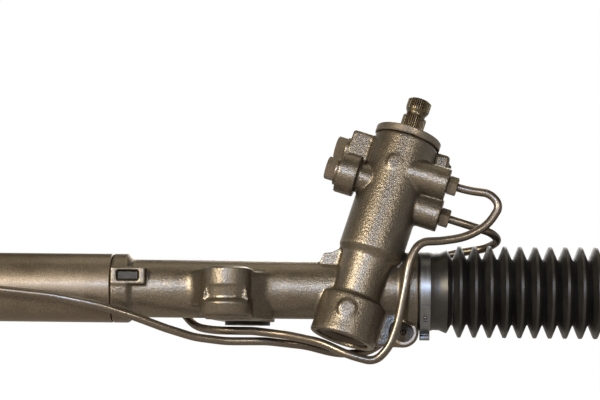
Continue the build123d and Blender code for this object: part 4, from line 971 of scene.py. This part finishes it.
band_width, band_wall, band_edge = 7.4 * MM, 0.85 * MM, 0.15 * MM
band_from_lip = 1.0 * MM
strap_wall, strap_lift, strap_margin = 0.8 * MM, 0.42 * MM, 0.1 * MM
hook_radius, hook_angle = 0.95 * MM, 41
strap_angles = (22, 25, 29, 32, 35, 38.5, 41, 44, 47, 50, 54, 58, 62, 66, 70)
strap_slots = ((4, 7), (8, 9))
ear_middle, ear_height, ear_base = 85.0, 5.4 * MM, 11 * MM
tail_angles = (100, 106, 112, 118)
for side_name, side, lip_x, cuff_radius, ball_x in boots:
    clamp_x = lip_x + side * band_from_lip
    low_x, high_x = sorted((clamp_x, clamp_x + side * band_width))
    inner = cuff_radius + cuff_wall + 0.03 * MM
    outer = inner + band_wall
    band = turn_about_rack(
        side_name + "_clamp_band",
        [
            (low_x, inner),
            (low_x, outer - band_edge),
            (low_x + band_edge, outer),
            (high_x - band_edge, outer),
            (high_x, outer - band_edge),
            (high_x, inner),
            (low_x, inner),
        ],
        128,
    )
    bpy.ops.object.shade_smooth_by_angle(angle=radians(30))
    strap_radius = outer + strap_lift
    strap_path = [round_rack(strap_radius, below) for below in strap_angles]
    strap_path += crimped_ear(strap_radius, ear_middle, ear_height, ear_base)
    strap_path += [round_rack(strap_radius, below) for below in tail_angles]
    strap = bent_strap(
        side_name + "_clamp_strap",
        strap_path,
        low_x + strap_margin,
        high_x - strap_margin,
        strap_wall,
        strap_slots,
    )
    deselect_all()
    bpy.ops.mesh.primitive_uv_sphere_add(
        segments=24,
        ring_count=12,
        radius=hook_radius,
        location=((low_x + high_x) / 2, *round_rack(strap_radius, hook_angle)),
    )
    hook = bpy.context.object
    settle()
    bpy.ops.object.shade_smooth()
    clamp = joined(side_name + "_boot_clamp", [band, strap, hook], clamp_steel)
    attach(clamp, "housing")
    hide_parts(side_name + "_large_clamp")

clip_width, clip_wall = 5.0 * MM, 0.9 * MM
clip_radius = 10.45 * MM
clip_from_end = 3.0 * MM
tang_foot, tang_tip = clip_radius + 1.0 * MM, clip_radius + 4.5 * MM
for side_name, side, lip_x, cuff_radius, ball_x in boots:
    clip_end = ball_x + side * (rod_only - clip_from_end)
    low_x, high_x = sorted((clip_end, clip_end - side * clip_width))
    ring_path = [round_rack(tang_tip, -65), round_rack(tang_foot, -68)]
    ring_path += [round_rack(clip_radius, below) for below in range(-62, 243, 8)]
    ring_path += [round_rack(tang_foot, 248), round_rack(tang_tip, 245)]
    clip = bent_strap(side_name + "_neck_clip", ring_path, low_x, high_x, clip_wall)
    clip.data.materials.append(clamp_steel)
    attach(clip, side_name + "_rod")
    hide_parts(side_name + "_small_clip")

# ---------------------------------------------------------------- tie rods
# Forged rods with a ball at the inner end, flats for a wrench and a rolled M14 thread for the outer end.
# The thread is a ridge wound round its core, and the jam nut sits at its start.

ball_radius, ball_foot = 11.9 * MM, 9.9 * MM
rod_waist = 6.5 * MM
rod_radius = 7.3 * MM
clip_seat = 8.0 * MM
rod_length = 285 * MM
flats_middle = 224 * MM
flats_length = 14 * MM
flats_half = 6.1 * MM
thread_start = 238 * MM
thread_core = 6.15 * MM
thread_crest = 6.98 * MM
thread_pitch = 1.5 * MM
ridge_base = 1.24 * MM
ridge_turns, ridge_steps = 29, 36
hair = 0.01 * MM


def wound_ridge(name, start_x, turns, side):
    """Thread ridge wound round the rack axis"""
    root = thread_core - 0.2 * MM
    deselect_all()
    bpy.ops.mesh.primitive_plane_add(size=ridge_base, location=(0, rack_y, 0))
    ridge = bpy.context.object
    ridge.name = name
    edit_all()
    height = (thread_crest - root) / ridge_base
    bpy.ops.transform.resize(value=(1, height, 1), center_override=(0, rack_y, 0))
    bpy.ops.transform.translate(value=(start_x, (root + thread_crest) / 2, 0))
    bpy.ops.object.mode_set(mode="OBJECT")
    pick_points(ridge, lambda place: place.y > (root + thread_crest) / 2)
    bpy.ops.transform.resize(value=(0.2, 1, 1), center_override=(start_x, rack_y, 0))
    bpy.ops.object.mode_set(mode="OBJECT")
    modify(
        ridge,
        "wound",
        "SCREW",
        axis="X",
        screw_offset=side * thread_pitch,
        iterations=turns,
        steps=ridge_steps,
        render_steps=ridge_steps,
    )
    settle()
    edit_all()
    bpy.ops.mesh.remove_doubles(threshold=same_place)
    bpy.ops.mesh.fill_holes(sides=4)
    bpy.ops.mesh.normals_make_consistent(inside=False)
    bpy.ops.object.mode_set(mode="OBJECT")
    bpy.ops.object.shade_smooth_by_angle(angle=radians(40))
    return ridge


ball_turns = [radians(turn) for turn in range(176, 38, -6) if ball_radius * cos(radians(turn)) < ball_foot]
flats_start, flats_end = flats_middle - flats_length / 2, flats_middle + flats_length / 2
rod_stations = [(ball_radius * cos(turn), ball_radius * sin(turn)) for turn in ball_turns] + [
    (10.1 * MM, rod_waist),
    (22 * MM, rod_waist),
    (25 * MM, rod_waist + 0.35 * MM),
    (28 * MM, rod_radius),
    (131.2 * MM, rod_radius),
    (131.8 * MM, clip_seat - 0.2 * MM),
    (132 * MM, clip_seat),
    (148 * MM, clip_seat),
    (149 * MM, rod_radius),
    (flats_start - 0.15 * MM, rod_radius),
    (flats_start, rod_radius),
    (flats_end, rod_radius),
    (flats_end + 0.15 * MM, rod_radius),
    (thread_start - 1.2 * MM, rod_radius),
    (thread_start, thread_core),
    (rod_length - 1.0 * MM, thread_core),
    (rod_length, thread_core - 0.9 * MM),
]
for side_name, side, lip_x, cuff_radius, ball_x in boots:
    profile = [(ball_x + side * distance, radius) for distance, radius in rod_stations]
    shank = turn_about_rack(side_name + "_rod_shank", profile, 72, capped=True)
    for up in (-1, 1):
        pick_points(
            shank,
            lambda place: flats_start - hair < abs(place.x - ball_x) < flats_end + hair
            and place.z * up > flats_half,
        )
        bpy.ops.transform.resize(value=(1, 1, 0), center_override=(ball_x, rack_y, up * flats_half))
        bpy.ops.object.mode_set(mode="OBJECT")
    bpy.ops.object.shade_smooth_by_angle(angle=radians(32))
    ridge_x = ball_x + side * (thread_start + 1 * MM)
    ridge = wound_ridge(side_name + "_rod_ridge", ridge_x, ridge_turns, side)
    tie = joined(side_name + "_rod_forging", [shank, ridge], dark_steel)
    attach(tie, side_name + "_rod")
    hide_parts(side_name + "_tie_rod")
